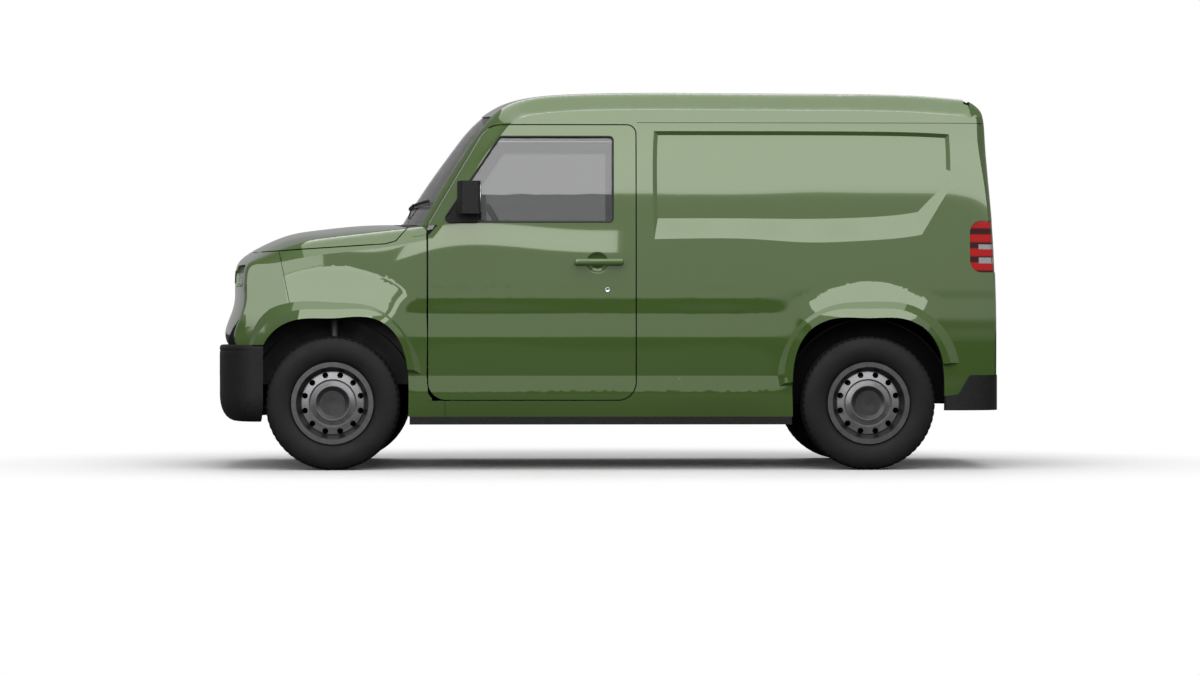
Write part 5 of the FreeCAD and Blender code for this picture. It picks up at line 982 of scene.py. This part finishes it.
for hand, side in HANDS:
    edges = sorted((hand * 0.432, hand * 0.66))
    solid_piece("headlamp_back_" + side, skin_patch(head_tree, *edges, 0.940, 1.036, 1.0, -0.034, 0.003),
                "root", housing)
    solid_piece("headlamp_bar_" + side, skin_patch(head_tree, *edges, 0.957, 0.970, 1.0, -0.012, 0.010, rows=4),
                "root", mirror_silver)

# Nose and tailgate fittings: a black band joins the headlamps; the tailgate has a grip and a high brake lamp.
# Each is a thin panel that follows the sheet or the glass under it.

nose_tree = tree_of(["nose"])
gate_tree = tree_of(["tailgate", "tailgate_glass"])
solid_piece("nose_band", skin_patch(nose_tree, -0.405, 0.405, 0.955, 1.020, 1.0, 0.0012, 0.003, 60, 12),
            "root", plastic)
solid_piece("high_brake_lamp", skin_patch(gate_tree, -0.15, 0.15, 1.762, 1.782, -1.0, 0.003, 0.005),
            "tailgate", lens_red)
solid_piece("tailgate_grip", skin_patch(gate_tree, -0.30, 0.30, 0.735, 0.772, -1.0, 0.010, 0.012),
            "tailgate", plastic)

# Wipers: two flat blades on pressed arms at the foot of the windscreen, and one on the tailgate's glass.
# A blade lies along a line on the glass, and its arm runs straight from the middle of the blade to the pivot.

screen_tree = tree_of(["windscreen"])
BLADE = ((-0.006, 0.008), (-0.009, 0.012), (-0.002, 0.018), (0.006, 0.016), (0.009, 0.010), (0.002, 0.008),
         (0.001, 0.001), (-0.001, 0.001))
ARM = ((-0.005, -0.003), (-0.007, 0.0), (-0.005, 0.004), (0.005, 0.004), (0.007, 0.0), (0.005, -0.003))


def wiper(name, tree, aim, ends, pivot, body):
    """Blade along a line laid on the glass, with its edge towards it, and a straight arm down to the pivot."""
    start = 3.0
    first, last = np.array(ends)
    wanted = first + (last - first) * np.linspace(0.0, 1.0, 40)[:, None]
    starts = np.column_stack([np.full(len(wanted), -aim * start), wanted])
    on, normal = laid_on(tree, starts, [(aim, 0.0, 0.0)] * len(wanted), 0.0, start)
    normal = unit(np.repeat(normal.mean(0)[None], len(normal), 0))
    tip = on[len(on) // 2] + normal[0] * 0.019
    path = pivot + (tip - pivot) * np.linspace(0.0, 1.0, 16)[:, None]
    solid_piece(name, joined([ribbon(on, normal, BLADE), ribbon(path, normal[:16], ARM)]), body,
                plastic, 35.0)


wiper("wiper_left", screen_tree, 1.0, ((-0.60, 1.365), (-0.03, 1.345)), (-1.030, -0.34, 1.292), "root")
wiper("wiper_right", screen_tree, 1.0, ((0.02, 1.345), (0.55, 1.375)), (-1.052, 0.18, 1.292), "root")
wiper("wiper_rear", gate_tree, -1.0, ((-0.46, 1.275), (-0.02, 1.262)), (1.992, 0.02, 1.222), "tailgate")

# Cab and running gear: satin paint on the bulkhead, a rubber mat on the floor, grained dark mouldings for the
# dashboard and the seat boxes, and black coating, cast iron and alloy under the body.
# The frame's own nodes keep their shapes and only take materials.

satin = finish("satin_primer", (0.040, 0.075, 0.020), (0.055, 0.095, 0.028), (0.5, 0.65), 25.0, 400.0, 0.12)
coating = finish("chassis_coating", 0.012, (0.024, 0.023, 0.022), (0.45, 0.7), 18.0, 220.0, 0.3, 0.001)
cab_grain = finish("cab_grain", (0.020, 0.020, 0.022), (0.032, 0.032, 0.034), (0.55, 0.7), 50.0, 1100.0, 0.35,
                   0.0006, Specular_IOR_Level=0.35)
wheel_skin = finish("wheel_skin", (0.016, 0.016, 0.017), (0.024, 0.024, 0.025), (0.4, 0.52), 60.0, 1500.0, 0.3,
                    0.0004)
mat_rubber = finish("floor_mat", 0.014, 0.026, (0.75, 0.9), 40.0, 350.0, 0.5, 0.001)
case = finish("battery_case", (0.30, 0.31, 0.32), (0.40, 0.41, 0.42), (0.35, 0.55), 12.0, 500.0, 0.15,
              Metallic=0.9)
alloy = finish("cast_alloy", (0.34, 0.35, 0.36), (0.46, 0.47, 0.48), (0.4, 0.6), 20.0, 260.0, 0.35, 0.001,
               Metallic=0.85)
for name, material in (("bulkhead", satin), ("front_structure", coating), ("floor", mat_rubber),
                       ("hinges", coating), ("lower_arms", coating), ("knuckle_left", cast),
                       ("knuckle_right", cast), ("rear_axle", coating), ("dashboard", cab_grain),
                       ("steering_wheel", wheel_skin),
                       ("seat_base_left", cab_grain), ("seat_base_right", cab_grain), ("battery_pack", case),
                       ("power_unit", alloy)):
    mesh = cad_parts[name].data
    mesh.materials.clear()
    mesh.materials.append(material)

# Dashboard fittings: a screen that leans back on the dashboard's top, and four round air vents.
# The screen is a black slab on a grained one, and a vent is a turned ring with five slats across it.

screen_black = finish("screen_glass", (0.004, 0.004, 0.005), (0.007, 0.007, 0.008), (0.05, 0.09), 20.0,
                      Specular_IOR_Level=0.6)
DASH_FACE = ((0.0, 1.0, 0.0), (-0.26, 0.0, 0.966), (0.966, 0.0, 0.26))
SLAT_FACE = ((0.0, 1.0, 0.0), (-0.3, 0.0, 1.0), (1.0, 0.0, 0.3))
solid_piece("dash_screen_back", rounded_slab((-0.672, 0.0, 1.200), 0.27, 0.165, 0.016, 0.014, DASH_FACE, 0.003),
            "root", cab_grain)
solid_piece("dash_screen_glass", rounded_slab((-0.6563, 0.0, 1.2042), 0.256, 0.151, 0.002, 0.010, DASH_FACE,
                                              0.0007), "root", screen_black)
dash_tree = tree_of(["dashboard"])
VENT = np.array(((-0.004, 0.036), (0.006, 0.040), (0.009, 0.038), (0.009, 0.034), (0.004, 0.032),
                 (-0.004, 0.032)))
VENT_Z, VENT_INSIDE, SLAT_STEP = 1.09, 0.0325, 0.0115
turn = np.arange(40)[:, None] / 40 * 2 * math.pi
vents = []
for y in (-0.60, -0.20, 0.20, 0.60):
    x = laid_on(dash_tree, [(0.0, y, VENT_Z)], [(-1.0, 0.0, 0.0)], 0.0, 0.63)[0][0, 0]
    co = np.stack([x + VENT[:, 0] + 0.0 * turn, y + VENT[:, 1] * np.cos(turn),
                   VENT_Z + VENT[:, 1] * np.sin(turn)], -1)
    vents.append(lattice(co, True, True))
    for step in range(-2, 3):
        rise = SLAT_STEP * step
        slat = 2 * math.sqrt(VENT_INSIDE ** 2 - rise ** 2)
        vents.append(rounded_slab((x + 0.003, y, VENT_Z + rise), slat, 0.003, 0.004, 0.0012, SLAT_FACE, 0.0005))
solid_piece("dash_vents", joined(vents), "root", wheel_skin)

# Mirror glass: a silvered plate with rounded corners in the rear face of each mirror housing.
# Each is a flat slab with a small round along its edges.

silvered = finish("mirror_glass", (0.62, 0.64, 0.65), (0.66, 0.68, 0.69), (0.01, 0.03), 5.0, Metallic=1.0)
BACKWARDS = ((0.0, 1.0, 0.0), (0.0, 0.0, 1.0), (1.0, 0.0, 0.0))
for hand, side in HANDS:
    plate = rounded_slab((-0.6475, hand * 0.868, 1.378), 0.126, 0.132, 0.003, 0.02, BACKWARDS, 0.001)
    solid_piece("mirror_plate_" + side, plate, "door_" + side, silvered)

# Seats: a cushion, a back and a head restraint on each side, foam under woven dark cloth, each blown up like a
# cushion by a cloth simulation and capped, then quilted with sewn channels.


def padded_form(centre, half, lean=0.0, power=0.34, rows=30, columns=60):
    """Closed pad: a box with round edges, x = a |cos u|^p |cos t|^p and so on, leaning back by a share of z."""
    up = np.linspace(-math.pi / 2, math.pi / 2, rows)[:, None]
    turn = np.linspace(-math.pi, math.pi, columns, endpoint=False)[None, :]

    def bent(value):
        return np.sign(value) * np.abs(value) ** power

    co = np.stack([half[0] * bent(np.cos(up)) * bent(np.cos(turn)),
                   half[1] * bent(np.cos(up)) * bent(np.sin(turn)),
                   half[2] * bent(np.sin(up)) * np.ones_like(turn)], -1)
    co[..., 0] += lean * co[..., 2]
    return lattice(co + np.asarray(centre), close_columns=True)


def swollen(piece, cap, voxel=0.012):
    """Remeshes a pad, blows it up as cloth under pressure, holds each point within the cap and smooths once."""
    bpy.context.view_layer.objects.active = piece
    remesh = piece.modifiers.new("remesh", "REMESH")
    remesh.mode = "VOXEL"
    remesh.voxel_size = voxel
    remesh.use_smooth_shade = True
    bpy.ops.object.modifier_apply(modifier=remesh.name)
    start = read(piece.data.vertices, "co", float)
    cloth = piece.modifiers.new("cloth", "CLOTH")
    cloth.settings.use_pressure = True
    cloth.settings.uniform_pressure_force = 4.0
    cloth.settings.effector_weights.gravity = 0.0
    cloth.settings.quality = 4
    for step in range(1, 21):
        scene.frame_set(step)
    bpy.ops.object.modifier_apply(modifier=cloth.name)
    shift = read(piece.data.vertices, "co", float) - start
    scene.frame_set(1)
    reach = np.maximum(np.linalg.norm(shift, axis=1, keepdims=True), 1e-9)
    piece.data.vertices.foreach_set("co", (start + shift * (np.minimum(reach, cap) / reach)).ravel())
    finer = piece.modifiers.new("finer", "SUBSURF")
    finer.levels = finer.render_levels = 1
    bpy.ops.object.modifier_apply(modifier=finer.name)


def quilted(piece, centre, lean, lines, face_axis, depth=0.006, width=0.007):
    """Presses sewn channels into a pad: depth exp(-(d/w)^2) along its normal, d being the way to a channel."""
    co = read(piece.data.vertices, "co", float)
    normal = read(piece.data.vertex_normals, "vector")
    local = co - centre
    local[:, 0] -= lean * local[:, 2]
    press = np.zeros(len(co))
    for axis, at, low, high in lines:
        other = 1 if axis != 1 else (2 if face_axis == 0 else 0)
        near = np.exp(-((local[:, axis] - at) / width) ** 2)
        inside = np.clip((local[:, other] - low) / 0.01, 0, 1) * np.clip((high - local[:, other]) / 0.01, 0, 1)
        press = np.maximum(press, near * inside)
    press *= np.clip((np.abs(normal[:, face_axis]) - 0.35) / 0.3, 0, 1)
    co -= normal * (press * depth)[:, None]
    piece.data.vertices.foreach_set("co", co.ravel())
    piece.data.update()


cloth, cloth_tree, cloth_shader = new_material("seat_cloth", {"Roughness": 0.9, "Sheen_Weight": 0.25,
                                                              "Specular_IOR_Level": 0.2})
cloth_place = add_node(cloth_tree, "TexCoord")
weave = []
for axis in ("X", "Y", "Z"):
    thread = add_node(cloth_tree, "TexWave", {"wave_type": "BANDS", "bands_direction": axis}, Scale=120.0,
                      Distortion=0.6)
    wire(cloth_tree, (cloth_place, "Object", thread, "Vector"))
    weave.append(thread)
cloth_add = add_node(cloth_tree, "Math", {"operation": "ADD"})
cloth_sum = add_node(cloth_tree, "Math", {"operation": "MULTIPLY"})
cloth_mix = add_node(cloth_tree, "Mix", {"data_type": "RGBA"}, A=(0.014, 0.015, 0.016, 1.0),
                     B=(0.040, 0.041, 0.043, 1.0))
cloth_bump = add_node(cloth_tree, "Bump", Strength=0.4, Distance=0.0008)
wire(cloth_tree, (weave[0], "Fac", cloth_add, 0), (weave[2], "Fac", cloth_add, 1), (cloth_add, 0, cloth_sum, 0),
     (weave[1], "Fac", cloth_sum, 1), (cloth_sum, 0, cloth_mix, "Factor"),
     (cloth_mix, "Result", cloth_shader, "Base Color"), (cloth_sum, 0, cloth_bump, "Height"),
     (cloth_bump, "Normal", cloth_shader, "Normal"))

SEAT_APART = 0.740
PADS = (("cushion", (-0.318, -0.370, 0.702), (0.234, 0.232, 0.054), 0.0, 0.007,
         ((1, -0.15, -0.2, 0.2), (1, 0.15, -0.2, 0.2), (0, -0.10, -0.15, 0.15), (0, 0.0, -0.15, 0.15),
          (0, 0.10, -0.15, 0.15)), 2),
        ("back", (0.0185, -0.370, 1.010), (0.050, 0.232, 0.285), 0.161, 0.007,
         ((1, -0.15, -0.22, 0.22), (1, 0.15, -0.22, 0.22), (2, -0.12, -0.15, 0.15), (2, 0.0, -0.15, 0.15),
          (2, 0.12, -0.15, 0.15)), 0),
        ("restraint", (0.065, -0.370, 1.392), (0.046, 0.114, 0.070), 0.05, 0.005, (), 0))
for label, centre, half, slant, cap, lines, face_axis in PADS:
    left = outward(mesh_piece("seat_%s_left" % label, *padded_form(centre, half, slant)))
    swollen(left, cap)
    quilted(left, np.array(centre), slant, lines, face_axis)
    across = read(left.data.vertices, "co", float) + (0.0, SEAT_APART, 0.0)
    right = bpy.data.objects.new("seat_%s_right" % label, left.data.copy())
    scene.collection.objects.link(right)
    right.data.vertices.foreach_set("co", across.ravel())
    for pad in (left, right):
        pad.data.shade_smooth()
        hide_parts("seats")
        fitted(pad, "root", cloth)
